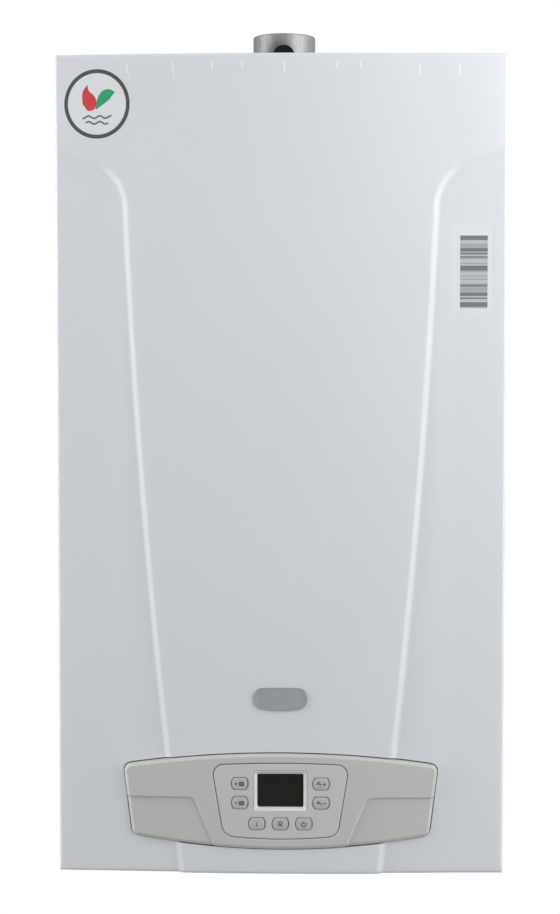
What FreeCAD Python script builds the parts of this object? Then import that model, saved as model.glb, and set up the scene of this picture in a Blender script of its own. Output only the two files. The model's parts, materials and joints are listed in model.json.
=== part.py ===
import FreeCAD, Part
import math
import operator
import os
import Sketcher

# Wall-hung gas boiler with a sealed chamber, a bowed front cover and a push-button panel.
# Millimetres, Z up, front towards -Y, the wall at y = 0 and the hanging line at z = 0.
# Sizes ending in _up are heights above the casing's lower edge.
# Sizes ending in _out are distances from the wall.

SIZES = {
    # Casing
    "case_width": 400,
    "case_top": 40,
    "case_drop": 690,
    "case_sheet": 1.2,
    "seam": 0.3,
    "panel_return": 14,
    # Front cover
    "cover_depth": 296,
    "cover_bow": 8.5,
    "cover_return": 60,
    "cover_gap": 0.3,
    "cover_edge_radius": 3,
    "shield_tilt": 2,
    "shield_taper": 55,
    "rib_foot_half": 88,
    "rib_shoulder_half": 137.5,
    "rib_shoulder_up": 597,
    "rib_turn_half": 164.8,
    "rib_turn_up": 634.6,
    "rib_end_up": 649.6,
    "rib_long_radius": 7230,
    "rib_turn_radius": 42,
    "overrun": 5,
    # Badge plate
    "badge_half": 22.5,
    "badge_side_radius": 36,
    "badge_height": 21,
    "badge_up": 158.7,
    "badge_proud": 1.5,
    "badge_gap": 0.3,
    # Rear frame
    "frame_sheet": 1.5,
    "frame_depth": 63.5,
    "frame_lip": 36,
    "frame_foot": 2,
    "hook_spacing": 300,
    "hook_slot_length": 24,
    "hook_slot_radius": 5,
    "window_half": 140,
    "window_low_up": 85,
    "window_high_up": 240,
    # Lower crossbar and the cover's screw holes
    "bar_low_up": 3,
    "bar_high_up": 26,
    "bar_inset": 13.2,
    "bar_reach": 18.8,
    "screw_half": 160,
    "screw_inset": 8.5,
    "screw_radius": 2,
    "screw_play": 0.5,
    # Bottom plate
    "plate_sheet": 1.5,
    "plate_up": 50,
    "plate_gap": 16,
    "plate_flange": 25,
    # Flue and air intake
    "flue_out": 127,
    "spigot_radius": 30,
    "spigot_wall": 1,
    "spigot_rise": 42,
    "bead_radius": 33,
    "bead_height": 3.5,
    "bead_rise": 3.5,
    "seal_bead_radius": 30.5,
    "seal_bead_height": 1.6,
    "seal_bead_rise": 31.6,
    "port_hole_radius": 10.5,
    "port_hole_rise": 20.5,
    "opening_radius": 50,
    "flange_ring_radius": 67,
    "flange_hole_radius": 2,
    "gasket_outer": 61,
    "gasket_thick": 3,
    "intake_gap": 5,
    "intake_radius": 38,
    "blank_radius": 46,
    "blank_sheet": 1.5,
    "blank_dome": 30,
    "blank_rise": 3,
    "ring_wall": 4,
    "ring_height": 40,
    "sense_tube_radius": 2.5,
    # Sealed chamber
    "chamber_low_up": 262,
    "chamber_front_out": 250,
    "chamber_lip": 14,
    "chamber_play": 0.6,
    "chamber_gasket": 2,
    "lid_margin": 2,
    "lid_inset": 22,
    "lid_raise": 6,
    "lid_taper": 45,
    "sight_up": 352,
    "sight_bore": 11,
    "sight_radius": 15,
    "sight_glass": 2.5,
    "sight_rim": 3,
    "pipe_play": 1.5,
    # Expansion vessel
    "vessel_half": 155,
    "vessel_low_up": 330,
    "vessel_high_up": 655,
    "vessel_thick": 60,
    "vessel_round": 22,
    "vessel_corner": 45,
    "vessel_seam": 3,
    "vessel_seam_thick": 4,
    "vessel_nipple": 9,
    "vessel_valve_half": 110,
    # Burner
    "burner_count": 12,
    "burner_pitch": 17,
    "ramp_width": 9,
    "ramp_back_out": 98,
    "ramp_front_out": 186,
    "ramp_low_up": 272,
    "ramp_high_up": 330,
    "ramp_throat": 26,
    "ramp_neck": 34,
    "burner_plate": 1.5,
    "burner_rail": 14,
    # Gas manifold
    "manifold_out": 212,
    "manifold_up": 285,
    "manifold_radius": 11,
    "manifold_half": 108,
    "manifold_drop": 15,
    "injector_radius": 3.5,
    "injector_gap": 5,
    # Combustion box and insulation
    "fire_half": 116,
    "fire_back_out": 88,
    "fire_front_out": 194,
    "fire_high_up": 445,
    "fire_sheet": 1,
    "fibre_thick": 11,
    "fibre_foot": 10,
    # Electrodes
    "electrode_up": 346,
    "electrode_half": 46,
    "ceramic_radius": 4,
    "ceramic_collar": 7,
    "ceramic_out": 222,
    "ceramic_tip_out": 176,
    "wire_radius": 1.2,
    "wire_tip_out": 158,
    # Heat exchanger
    "core_high_up": 515,
    "core_inset": 5,
    "fin_count": 22,
    "fin_thick": 1.5,
    "core_tube_radius": 8,
    "core_tube_up": 480,
    "core_tube_reach": 6,
    # Fume hood
    "hood_skirt": 14,
    "hood_slope_up": 574,
    "hood_sheet": 1,
    "duct_half": 42,
    "duct_back_out": 70,
    "duct_high_up": 690,
    # Fan
    "fan_side": 29,
    "fan_up": 636,
    "fan_back_out": 98,
    "fan_front_out": 156,
    "fan_sheet": 1.5,
    "fan_eye_radius": 30,
    "scroll_small_radius": 48,
    "scroll_step": 5,
    "scroll_high_up": 700,
    "collar_rise": 14,
    "wheel_radius": 42,
    "wheel_eye_radius": 32,
    "wheel_gap": 6,
    "wheel_disc": 1.5,
    "blade_count": 24,
    "blade_thick": 1,
    "blade_lean": 4.2,
    "blade_curl": 16,
    "hub_radius": 9,
    "shaft_radius": 3,
    "shaft_fit": 0.05,
    "motor_radius": 34,
    "motor_length": 48,
    "motor_nose_radius": 12,
    "motor_foot_radius": 44,
    "motor_foot": 2,
    # Air pressure switch
    "switch_radius": 30,
    "switch_thick": 26,
    "switch_out": 196,
    "switch_up": 620,
    "switch_rim": 4,
    "nipple_radius": 3,
    "nipple_length": 8,
    "nipple_spread": 9,
    "hose_radius": 4,
    # Water and gas connections
    "pipe_out": 100,
    "pipe_pitch": 65,
    "large_thread_radius": 13.2,
    "small_thread_radius": 10.5,
    "thread_relief": 0.9,
    "thread_end_up": 10,
    "thread_top_up": 40,
    "plate_play": 0.5,
    "hex_large": 18,
    "hex_small": 15,
    "hex_height": 9,
    "connection_top_up": 70,
    "connection_wall": 4,
    # Water groups
    "group_up": 110,
    "group_radius": 22,
    "group_inner_half": 46,
    "group_outer_half": 156,
    "group_cap_radius": 17,
    "group_cap": 4,
    "port_radius": 15,
    "plate_port_radius": 10,
    "plate_port_half": 74,
    "plate_port_rise": 14,
    "diverter_port_radius": 18,
    "diverter_port_up": 150,
    "flow_port_radius": 13,
    "flow_port_up": 142,
    "pump_port_radius": 18,
    "pump_port_up": 145,
    "vessel_port_half": 58,
    "vessel_port_radius": 9,
    "vessel_port_up": 140,
    "safety_half": 97,
    "safety_radius": 11,
    "safety_out": 148,
    "safety_hex": 14,
    "spindle_radius": 3,
    "spindle_depth": 12,
    "spindle_fit": 0.05,
    "safety_knob_radius": 14,
    "safety_knob": 18,
    "knob_gap": 0.4,
    "knob_lobes": 6,
    "lobe_radius": 3,
    "fill_half": 97,
    "fill_boss_radius": 9,
    "fill_boss_up": 62,
    "fill_knob_radius": 12,
    "fill_knob_low_up": 18,
    "fill_knob_high_up": 42,
    # Diverter motor
    "diverter_wide": 54,
    "diverter_deep": 46,
    "diverter_high_up": 198,
    "diverter_round": 6,
    "diverter_cap": 8,
    "diverter_cap_radius": 18,
    # Plate heat exchanger
    "stack_half": 96,
    "stack_low_up": 74,
    "stack_high_up": 146,
    "stack_front_out": 76,
    "stack_count": 10,
    "stack_pitch": 4,
    "stack_plate": 2.2,
    "stack_core_inset": 3,
    # Pump
    "pump_half": 116,
    "pump_up": 192,
    "pump_radius": 44,
    "pump_back_out": 84,
    "pump_front_out": 136,
    "pump_boss_radius": 21,
    "pump_outlet_radius": 12,
    "pump_outlet_up": 244,
    "pump_rim": 6,
    "pump_rim_radius": 48,
    "can_radius": 40,
    "can_length": 66,
    "can_cap_radius": 12,
    "can_cap": 5,
    "terminal_wide": 44,
    "terminal_high": 26,
    "terminal_long": 40,
    # Pipes
    "riser_out": 115,
    "riser_inset": 22,
    "elbow_run": 28,
    "pipe_radius": 8,
    "pipe_wall": 1.2,
    "pipe_bend": 22,
    "flow_turn_up": 196,
    "flow_rise_up": 236,
    "small_pipe_radius": 5,
    "vessel_pipe_out": 31,
    "vessel_pipe_turn_up": 172,
    # Gas valve
    "valve_half": 30,
    "valve_back_out": 84,
    "valve_front_out": 166,
    "valve_low_up": 88,
    "valve_high_up": 158,
    "valve_inlet_radius": 16,
    "valve_outlet_out": 144,
    "valve_outlet_radius": 13,
    "valve_outlet_up": 176,
    "coil_radius": 16,
    "coil_out": 106,
    "coil_up": 206,
    "regulator_radius": 12,
    "regulator_length": 16,
    "gas_turn_up": 220,
    "gas_rise_up": 246,
    # Pressure gauge
    "gauge_half": 97,
    "gauge_inset": 40,
    "gauge_radius": 20,
    "gauge_bezel_radius": 24,
    "gauge_high_up": 74,
    "gauge_low_up": 40,
    "gauge_dial_up": 45,
    "gauge_lens": 1.5,
    "gauge_lens_up": 41,
    "gauge_rim": 2,
    "needle_pin_radius": 1,
    "needle_pin_depth": 6,
    "needle_fit": 0.05,
    "needle_length": 14,
    "needle_tail": 5,
    "needle_width": 1.6,
    "needle_thick": 0.6,
    "needle_low_up": 43.4,
    # Cable gland
    "gland_side": 60,
    "gland_inset": 27,
    "gland_radius": 8,
    "gland_bore": 4,
    "gland_flange_radius": 11,
    "gland_flange": 3,
    "gland_low_up": 38,
    "gland_high_up": 60,
    # Control box and board
    "box_half": 147,
    "box_high_up": 120,
    "box_setback": 23,
    "box_depth": 45,
    "box_wall": 2.5,
    "box_rim": 6,
    "post_radius": 4,
    "post_half": 96,
    "post_low_up": 44,
    "post_high_up": 92,
    "board_half": 108,
    "board_low_up": 36,
    "board_high_up": 98,
    "board_setback": 17,
    "board_thick": 1.6,
    "switch_side": 6,
    "switch_height": 4.4,
    # Fascia
    "fascia_proud": 3,
    "fascia_gap": 1,
    "fascia_wall": 2.5,
    "fascia_corner": 6.8,
    "fascia_top_half": 141,
    "fascia_foot_half": 133.2,
    "fascia_crown_up": 109.9,
    "fascia_crown_radius": 890,
    "fascia_foot_up": 23.8,
    "fascia_foot_radius": 780,
    "wing_depth": 1.8,
    "wing_line_up": 70.8,
    "wing_bend_half": 76.6,
    "wing_foot_half": 56.1,
    "wing_foot_up": 22,
    # Keypad plate and display
    "keypad_gap": 0.5,
    "keypad_top_half": 61.5,
    "keypad_foot_half": 51,
    "keypad_crown_up": 101.2,
    "keypad_crown_radius": 1000,
    "keypad_foot_up": 33,
    "keypad_foot_radius": 500,
    "keypad_corner": 9.5,
    "keypad_sunk": 0.2,
    "keypad_flange": 3,
    "keypad_thick": 5.4,
    "screen_half": 20.7,
    "screen_low_up": 61.2,
    "screen_high_up": 91.4,
    "screen_bevel": 3.2,
    "screen_depth": 2.8,
    "glass_margin": 1.6,
    "glass_thick": 1.4,
    # Push buttons
    "button_half": 4.9,
    "button_height": 10.4,
    "button_side_radius": 7.1,
    "button_gap": 0.35,
    "button_proud": 0.3,
    "button_edge": 0.8,
    "button_flange": 1.1,
    "button_flange_thick": 1.2,
    "button_seat": 0.15,
    "button_stem_radius": 2,
    "button_travel": 0.8,
    "button_stop": 0.2,
    "button_column": 36.3,
    "button_upper_up": 82.9,
    "button_middle_up": 65.5,
    "button_lower_up": 46.7,
    "button_row": 21,
}

doc = FreeCAD.newDocument("WallBoiler")
sheet = doc.addObject("Spreadsheet::Sheet", "Sizes")
for row, (alias, number) in enumerate(SIZES.items(), start=1):
    sheet.set(f"A{row}", alias.replace("_", " "))
    sheet.set(f"B{row}", str(number))
    sheet.setAlias(f"B{row}", alias)
doc.recompute()

SIGNS = {"+": operator.add, "-": operator.sub, "*": operator.mul, "/": operator.truediv}
WAYS = {
    "right": (1, 0, 0),
    "left": (-1, 0, 0),
    "front": (0, -1, 0),
    "back": (0, 1, 0),
    "up": (0, 0, 1),
    "down": (0, 0, -1),
}
HEX_SIDES = 6
BEND_SHARE = 0.45


class Size:
    """A length that keeps its number together with the sheet formula behind it."""

    def __init__(self, value, formula=None):
        self.value = float(value)
        self.formula = formula or f"({float(value):g})"

    def join(self, sign, other):
        other = as_size(other)
        value = SIGNS[sign](self.value, other.value)
        return Size(value, f"({self.formula} {sign} {other.formula})")

    def __add__(self, other):
        return self.join("+", other)

    def __radd__(self, other):
        return as_size(other).join("+", self)

    def __sub__(self, other):
        return self.join("-", other)

    def __rsub__(self, other):
        return as_size(other).join("-", self)

    def __mul__(self, other):
        return self.join("*", other)

    def __rmul__(self, other):
        return as_size(other).join("*", self)

    def __truediv__(self, other):
        return self.join("/", other)

    def __neg__(self):
        return self * -1


def as_size(value):
    return value if isinstance(value, Size) else Size(value)


def root(size):
    """Square root of a size."""
    return Size(math.sqrt(size.value), f"sqrt({size.formula})")


class Sheet:
    """The sheet's cells by name."""

    def __getattr__(self, alias):
        return Size(SIZES[alias], f"Sizes.{alias}")


s = Sheet()
pieces = {}


# Making and placing solids


def bind(item, prop, size):
    item.setExpression(prop, as_size(size).formula)


def place(item, across, out, height):
    """Set an item's corner by its width from the centre, distance from the wall and height."""
    bind(item, "Placement.Base.x", across)
    bind(item, "Placement.Base.y", -as_size(out))
    bind(item, "Placement.Base.z", height)


def aim(item, way):
    turn = FreeCAD.Rotation(FreeCAD.Vector(0, 0, 1), FreeCAD.Vector(*WAYS[way]))
    item.Placement = FreeCAD.Placement(FreeCAD.Vector(), turn)


def box(name, across, out, height):
    """Block between two widths, two distances from the wall and two heights."""
    item = doc.addObject("Part::Box", name)
    bind(item, "Length", across[1] - across[0])
    bind(item, "Width", out[1] - out[0])
    bind(item, "Height", height[1] - height[0])
    place(item, across[0], out[1], height[0])
    return item


def rod(name, start, way, radius, length):
    """Round bar from a start point along one of the six ways."""
    item = doc.addObject("Part::Cylinder", name)
    aim(item, way)
    bind(item, "Radius", radius)
    bind(item, "Height", length)
    place(item, *start)
    return item


def hexagon(name, start, way, radius, length):
    """Six-sided bar measured over its corners."""
    item = doc.addObject("Part::Prism", name)
    item.Polygon = HEX_SIDES
    aim(item, way)
    bind(item, "Circumradius", radius)
    bind(item, "Height", length)
    place(item, *start)
    return item


def cone(name, start, way, radii, length):
    """Tapering round bar from one radius to another."""
    item = doc.addObject("Part::Cone", name)
    aim(item, way)
    bind(item, "Radius1", radii[0])
    bind(item, "Radius2", radii[1])
    bind(item, "Height", length)
    place(item, *start)
    return item


def fuse(name, *parts):
    item = doc.addObject("Part::MultiFuse", name)
    item.Shapes = list(parts)
    item.Refine = True
    return item


def cut(name, base, *tools):
    item = doc.addObject("Part::Cut", name)
    item.Base = base
    item.Tool = tools[0] if len(tools) == 1 else fuse(name + "_tools", *tools)
    item.Refine = True
    return item


def overlap(name, first, second):
    item = doc.addObject("Part::Common", name)
    item.Base = first
    item.Tool = second
    return item


def mirror(name, source):
    """The same solid on the other side of the centre line."""
    item = doc.addObject("Part::Mirroring", name)
    item.Source = source
    item.Normal = FreeCAD.Vector(1, 0, 0)
    return item


def group(name, *parts):
    """Separate solids kept under one name."""
    item = doc.addObject("Part::Compound", name)
    item.Links = list(parts)
    return item


def tube(name, start, way, radii, length):
    """Round tube from its outer and inner radius."""
    outer = rod(name + "_outer", start, way, radii[0], length)
    inner = rod(name + "_inner", start, way, radii[1], length)
    return cut(name, outer, inner)


def piece(label, item):
    item.Label = label
    pieces[label] = item
    return item


# Sketches and the features made from them


def new_body(name):
    return doc.addObject("PartDesign::Body", name)


def new_sketch(owner, plane, shift=0):
    """Sketch on one of the body's own planes, moved along that plane's normal."""
    item = owner.newObject("Sketcher::SketchObject", owner.Name + "_sketch")
    support = [one for one in owner.Origin.OriginFeatures if one.Role == plane]
    item.AttachmentSupport = [(support[0], "")]
    item.MapMode = "FlatFace"
    bind(item, "AttachmentOffset.Base.z", shift)
    return item


def limit(item, kind, *targets):
    """Add one sketch constraint whose value comes from the sheet."""
    *targets, size = targets
    index = item.addConstraint(Sketcher.Constraint(kind, *targets, size.value))
    bind(item, f"Constraints[{index}]", size)


def pin_point(item, edge, end, point):
    limit(item, "DistanceX", -1, 1, edge, end, as_size(point[0]))
    limit(item, "DistanceY", -1, 1, edge, end, as_size(point[1]))


def arc_between(start, stop, radius):
    """Short arc between two points, its centre to the left for a positive radius."""
    chord = stop - start
    away = math.sqrt(max(radius * radius - chord.Length * chord.Length / 4, 0))
    side = FreeCAD.Vector(-chord.y, chord.x, 0).normalize() * math.copysign(away, radius)
    centre = (start + stop) / 2 + side
    ends = (start, stop) if radius > 0 else (stop, start)
    angles = [math.atan2(end.y - centre.y, end.x - centre.x) for end in ends]
    circle_line = Part.Circle(centre, FreeCAD.Vector(0, 0, 1), abs(radius))
    return Part.ArcOfCircle(circle_line, *angles)


def outline(item, corners):
    """Closed line through the corners; a third number bends the run to the next corner."""
    spots = [FreeCAD.Vector(as_size(c[0]).value, as_size(c[1]).value, 0) for c in corners]
    ends = []
    for number, corner in enumerate(corners):
        start = spots[number]
        stop = spots[(number + 1) % len(spots)]
        bend = as_size(corner[2]) if len(corner) > 2 else None
        if bend is None:
            edge = item.addGeometry(Part.LineSegment(start, stop), False)
        else:
            edge = item.addGeometry(arc_between(start, stop, bend.value), False)
            size = bend if bend.value > 0 else -bend
            limit(item, "Radius", edge, size)
        turned = bend is not None and bend.value < 0
        ends.append((edge, 2, 1) if turned else (edge, 1, 2))
    for number, corner in enumerate(corners):
        edge, first, last = ends[number]
        after, after_first, after_last = ends[(number + 1) % len(ends)]
        item.addConstraint(Sketcher.Constraint("Coincident", edge, last, after, after_first))
        pin_point(item, edge, first, corner)


def mirrored(corners):
    """The same outline on the other side of the centre line, run round the same way."""
    bends = [corner[2:] for corner in corners[-2::-1]] + [corners[-1][2:]]
    return [(-corner[0], corner[1], *bend) for corner, bend in zip(corners[::-1], bends)]


def rectangle(item, across, height):
    low, high = height
    left, right = across
    outline(item, [(left, low), (right, low), (right, high), (left, high)])


def circle(item, centre, radius):
    middle = FreeCAD.Vector(as_size(centre[0]).value, as_size(centre[1]).value, 0)
    size = as_size(radius)
    line = Part.Circle(middle, FreeCAD.Vector(0, 0, 1), size.value)
    edge = item.addGeometry(line, False)
    pin_point(item, edge, 3, centre)
    limit(item, "Radius", edge, size)


def slot(item, centre, length, radius):
    """Slot with round ends lying along the sketch's first axis."""
    reach = length / 2 - radius
    ends = []
    for side, start in ((1, -math.pi / 2), (-1, math.pi / 2)):
        middle = (centre[0] + reach * side, centre[1])
        spot = FreeCAD.Vector(as_size(middle[0]).value, as_size(middle[1]).value, 0)
        line = Part.Circle(spot, FreeCAD.Vector(0, 0, 1), radius.value)
        edge = item.addGeometry(Part.ArcOfCircle(line, start, start + math.pi), False)
        pin_point(item, edge, 3, middle)
        limit(item, "Radius", edge, radius)
        limit(item, "DistanceX", -1, 1, edge, 1, as_size(middle[0]))
        limit(item, "DistanceX", -1, 1, edge, 2, as_size(middle[0]))
        ends.append(edge)
    for first, second in (ends, ends[::-1]):
        arcs = [item.Geometry[first].EndPoint, item.Geometry[second].StartPoint]
        edge = item.addGeometry(Part.LineSegment(*arcs), False)
        item.addConstraint(Sketcher.Constraint("Coincident", first, 2, edge, 1))
        item.addConstraint(Sketcher.Constraint("Coincident", edge, 2, second, 1))


def pad(owner, profile, length, taper=0):
    item = owner.newObject("PartDesign::Pad", owner.Name + "_pad")
    item.Profile = profile
    bind(item, "Length", length)
    bind(item, "TaperAngle", taper)
    return item


def pocket(owner, profile, length, taper=0):
    """Cut along the sketch's normal by a length."""
    item = owner.newObject("PartDesign::Pocket", owner.Name + "_pocket")
    item.Profile = profile
    item.Reversed = True
    bind(item, "Length", length)
    bind(item, "TaperAngle", taper)
    return item


def round_edges(owner, radius, wanted):
    """Round the edges of the body's last feature that pass a test."""
    doc.recompute()
    base = owner.Tip
    edges = base.Shape.Edges
    names = [f"Edge{number}" for number, edge in enumerate(edges, start=1) if wanted(edge)]
    item = owner.newObject("PartDesign::Fillet", owner.Name + "_fillet")
    item.Base = (base, names)
    bind(item, "Radius", radius)
    return item


def reaches_out(edge, distance):
    """True for an edge whose ends both lie farther from the wall than a distance."""
    return all(-point.Y > distance for point in edge.Vertexes)


def along(edge, way):
    """True for a straight edge that runs along the given way."""
    if edge.Curve.TypeId != "Part::GeomLine":
        return False
    return edge.Curve.Direction.cross(FreeCAD.Vector(*WAYS[way])).Length < 1e-6


# Heights and distances shared by several pieces

half = s.case_width / 2
inner_half = half - s.case_sheet - s.seam
top = s.case_top
bottom = -s.case_drop
edge_out = s.cover_depth - s.cover_bow
cover_back_out = edge_out - s.cover_return
side_out = cover_back_out - s.cover_gap
bow_radius = (half * half + s.cover_bow * s.cover_bow) / (s.cover_bow * 2)
screw_out = cover_back_out + s.screw_inset
bar_back = side_out - s.bar_inset
bar_front = side_out + s.bar_reach
box_front = s.cover_depth - s.box_setback
box_back = box_front - s.box_depth
plate_front = box_back - s.plate_gap
gauge_out = plate_front - s.gauge_inset
gland_out = plate_front - s.gland_inset
board_back = s.cover_depth - s.board_setback
fascia_out = s.cover_depth + s.fascia_proud
keypad_back = fascia_out - s.keypad_thick
intake_side = s.gasket_outer + s.blank_radius + s.intake_gap
riser_half = s.fire_half + s.core_tube_reach + s.elbow_run
chamber_half = riser_half + s.riser_inset


def up(height):
    """Height above the casing's lower edge."""
    return bottom + height


def both(name, maker):
    """Two mirrored items made by one function, left first."""
    return [maker(name + "_left", -1), maker(name + "_right", 1)]


# Casing


def rear_frame():
    """Folded back with two lipped uprights, hanging slots and a service window."""
    owner = new_body("rear_frame")
    plan = new_sketch(owner, "XY_Plane", up(s.frame_foot))
    deep = s.frame_depth
    sheet_in = inner_half - s.frame_sheet
    lip_in = inner_half - s.frame_lip
    right = [
        (inner_half, 0),
        (inner_half, -deep),
        (lip_in, -deep),
        (lip_in, s.frame_sheet - deep),
        (sheet_in, s.frame_sheet - deep),
        (sheet_in, -s.frame_sheet),
    ]
    left = [(-across, out) for across, out in reversed(right)]
    outline(plan, right + left)
    pad(owner, plan, top - s.case_sheet - s.seam - up(s.frame_foot))
    holes = new_sketch(owner, "XZ_Plane")
    for side in (-1, 1):
        slot(holes, (s.hook_spacing / 2 * side, 0), s.hook_slot_length, s.hook_slot_radius)
    rectangle(holes, (-s.window_half, s.window_half), (up(s.window_low_up), up(s.window_high_up)))
    pocket(owner, holes, s.frame_sheet * 2)
    piece("rear_frame", owner)


def side_panel(label, side):
    """Flat side with a folded front return."""
    owner = new_body(label)
    plan = new_sketch(owner, "XY_Plane", bottom)
    inner = half - s.case_sheet
    fold = half - s.panel_return
    corners = [
        (half, 0),
        (inner, 0),
        (inner, s.case_sheet - side_out),
        (fold, s.case_sheet - side_out),
        (fold, -side_out),
        (half, -side_out),
    ]
    outline(plan, corners if side > 0 else mirrored(corners))
    pad(owner, plan, top - bottom)
    piece(label, owner)


def top_panel():
    """Lid with the flue opening, the air intake and the flue flange's screw holes."""
    owner = new_body("top_panel")
    front = side_out - s.case_sheet - s.seam
    profile = new_sketch(owner, "YZ_Plane", -inner_half)
    corners = [
        (0, top),
        (0, top - s.case_sheet),
        (s.case_sheet - front, top - s.case_sheet),
        (s.case_sheet - front, top - s.panel_return),
        (-front, top - s.panel_return),
        (-front, top),
    ]
    outline(profile, corners)
    pad(owner, profile, inner_half * 2)
    holes = new_sketch(owner, "XY_Plane", top - s.case_sheet * 2)
    circle(holes, (0, -s.flue_out), s.opening_radius)
    circle(holes, (-intake_side, -s.flue_out), s.intake_radius)
    reach = s.flange_ring_radius * math.sqrt(0.5)
    for across in (-reach, reach):
        for out in (-reach, reach):
            circle(holes, (across, out - s.flue_out), s.flange_hole_radius)
    pocket(owner, holes, s.case_sheet * 3)
    gap = new_sketch(owner, "XZ_Plane", front - s.case_sheet * 2)
    wide = chamber_half + s.seam
    rectangle(gap, (-wide, wide), (top - s.panel_return - s.overrun, top - s.case_sheet))
    pocket(owner, gap, s.case_sheet * 3)
    piece("top_panel", owner)


def bottom_plate():
    """Folded plate that carries the pipe connections, the gauge and the cable gland."""
    owner = new_body("bottom_plate")
    wide = inner_half - s.frame_lip - s.seam
    back = s.frame_sheet
    high = up(s.plate_up)
    profile = new_sketch(owner, "YZ_Plane", -wide)
    corners = [
        (-back, high - s.plate_sheet),
        (-back, high + s.plate_flange),
        (-back - s.plate_sheet, high + s.plate_flange),
        (-back - s.plate_sheet, high),
        (-plate_front, high),
        (-plate_front, high - s.plate_sheet),
    ]
    outline(profile, corners)
    pad(owner, profile, wide * 2)
    holes = new_sketch(owner, "XY_Plane", high - s.plate_sheet * 2)
    for number, thread, _ in CONNECTIONS:
        across = s.pipe_pitch * number
        circle(holes, (across, -s.pipe_out), thread - s.thread_relief + s.plate_play)
    circle(holes, (-s.gauge_half, -gauge_out), s.gauge_radius + s.plate_play)
    circle(holes, (s.fill_half, -s.pipe_out), s.spindle_radius + s.plate_play)
    circle(holes, (s.gland_side, -gland_out), s.gland_radius + s.seam)
    pocket(owner, holes, s.plate_sheet * 3)
    piece("bottom_plate", owner)


def lower_crossbar():
    """Channel open to the front, notched for the cover screws."""
    owner = new_body("lower_crossbar")
    wide = half - s.panel_return - s.seam
    low, high = up(s.bar_low_up), up(s.bar_high_up)
    back, front = bar_back, bar_front
    thick = s.frame_sheet
    profile = new_sketch(owner, "YZ_Plane", -wide)
    corners = [
        (-back, low),
        (-back, high),
        (-front, high),
        (-front, high - thick),
        (-back - thick, high - thick),
        (-back - thick, low + thick),
        (-front, low + thick),
        (-front, low),
    ]
    outline(profile, corners)
    pad(owner, profile, wide * 2)
    notches = new_sketch(owner, "XY_Plane", low - thick)
    play = s.screw_radius + s.screw_play
    for side in (-1, 1):
        middle = s.screw_half * side
        edges = (middle - play, middle + play)
        rectangle(notches, edges, (-front - s.overrun, s.screw_play + s.screw_radius - screw_out))
    pocket(owner, notches, thick * 3)
    piece("lower_crossbar", owner)


def cover_block(name, inset, back):
    """Bowed block less the shield's recesses, drawn in from the outside by an inset."""
    owner = new_body(name + "_bow")
    wide = half - inset
    centre_out = s.cover_depth - bow_radius - inset
    front = centre_out + root(bow_radius * bow_radius - wide * wide)
    plan = new_sketch(owner, "XY_Plane", bottom + inset)
    outline(plan, [(-wide, -back), (-wide, -front, bow_radius), (wide, -front), (wide, -back)])
    pad(owner, plan, top - bottom - inset * 2)
    front_line = front.value - s.seam.value
    round_edges(owner, s.cover_edge_radius - inset, lambda edge: reaches_out(edge, front_line))
    right = recess_block(name + "_recess", inset)
    return cut(name, owner, right, mirror(name + "_recess_left", right))


def recess_block(name, inset):
    """Flaring block over the right-hand recess, standing on its leaning floor."""
    owner = new_body(name)
    floor = new_sketch(owner, "XZ_Plane", edge_out - inset)
    lean = FreeCAD.Rotation(FreeCAD.Vector(0, 1, 0), s.shield_tilt.value)
    floor.AttachmentOffset = FreeCAD.Placement(floor.AttachmentOffset.Base, lean)
    bind(floor, "AttachmentOffset.Rotation.Angle", s.shield_tilt)
    bind(floor, "AttachmentOffset.Base.x", half)
    over = s.overrun
    corners = [
        (s.rib_foot_half - half, bottom - over, s.rib_long_radius),
        (s.rib_shoulder_half - half, up(s.rib_shoulder_up), -s.rib_turn_radius),
        (s.rib_turn_half - half, up(s.rib_turn_up)),
        (over, up(s.rib_end_up)),
        (over, bottom - over),
    ]
    outline(floor, corners)
    pad(owner, floor, s.cover_bow, s.shield_taper)
    return owner


def front_cover():
    """Thin pressed cover with its folded edges and the panel's opening."""
    shell = cover_block("cover_outer", Size(0), cover_back_out)
    inside = cover_block("cover_inner", s.case_sheet, cover_back_out - s.overrun)
    opening = panel_block("cover_opening", FASCIA, s.fascia_gap, box_front, fascia_out + s.overrun)
    holes = [
        rod(f"cover_hole_{side}", (s.screw_half * side, screw_out, bottom - s.overrun), "up",
            s.screw_radius + s.seam, s.overrun * 2)
        for side in (-1, 1)
    ]
    piece("front_cover", cut("front_cover", shell, inside, opening, *holes))


def barrel(item, centre, reach, height, radius):
    """Outline with flat top and foot and bowed sides."""
    across, level = centre
    low, high = level - height / 2, level + height / 2
    corners = [
        (across - reach, low),
        (across + reach, low, radius),
        (across + reach, high),
        (across - reach, high, radius),
    ]
    outline(item, corners)


def badge():
    """Bare plate on the cover's crown, its back hollowed to the crown's bow."""
    owner = new_body("badge_block")
    face = new_sketch(owner, "XZ_Plane", edge_out)
    barrel(face, (0, up(s.badge_up)), s.badge_half, s.badge_height, s.badge_side_radius)
    pad(owner, face, s.cover_bow + s.badge_proud)
    crown = bow_block("badge_seat", s.cover_depth + s.badge_gap)
    piece("cover_badge", cut("cover_badge", owner, crown))


# Control panel

FASCIA = ("fascia_top_half", "fascia_crown_up", "fascia_crown_radius", "fascia_foot_half",
          "fascia_foot_up", "fascia_foot_radius", "fascia_corner")
KEYPAD = ("keypad_top_half", "keypad_crown_up", "keypad_crown_radius", "keypad_foot_half",
          "keypad_foot_up", "keypad_foot_radius", "keypad_corner")


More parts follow.
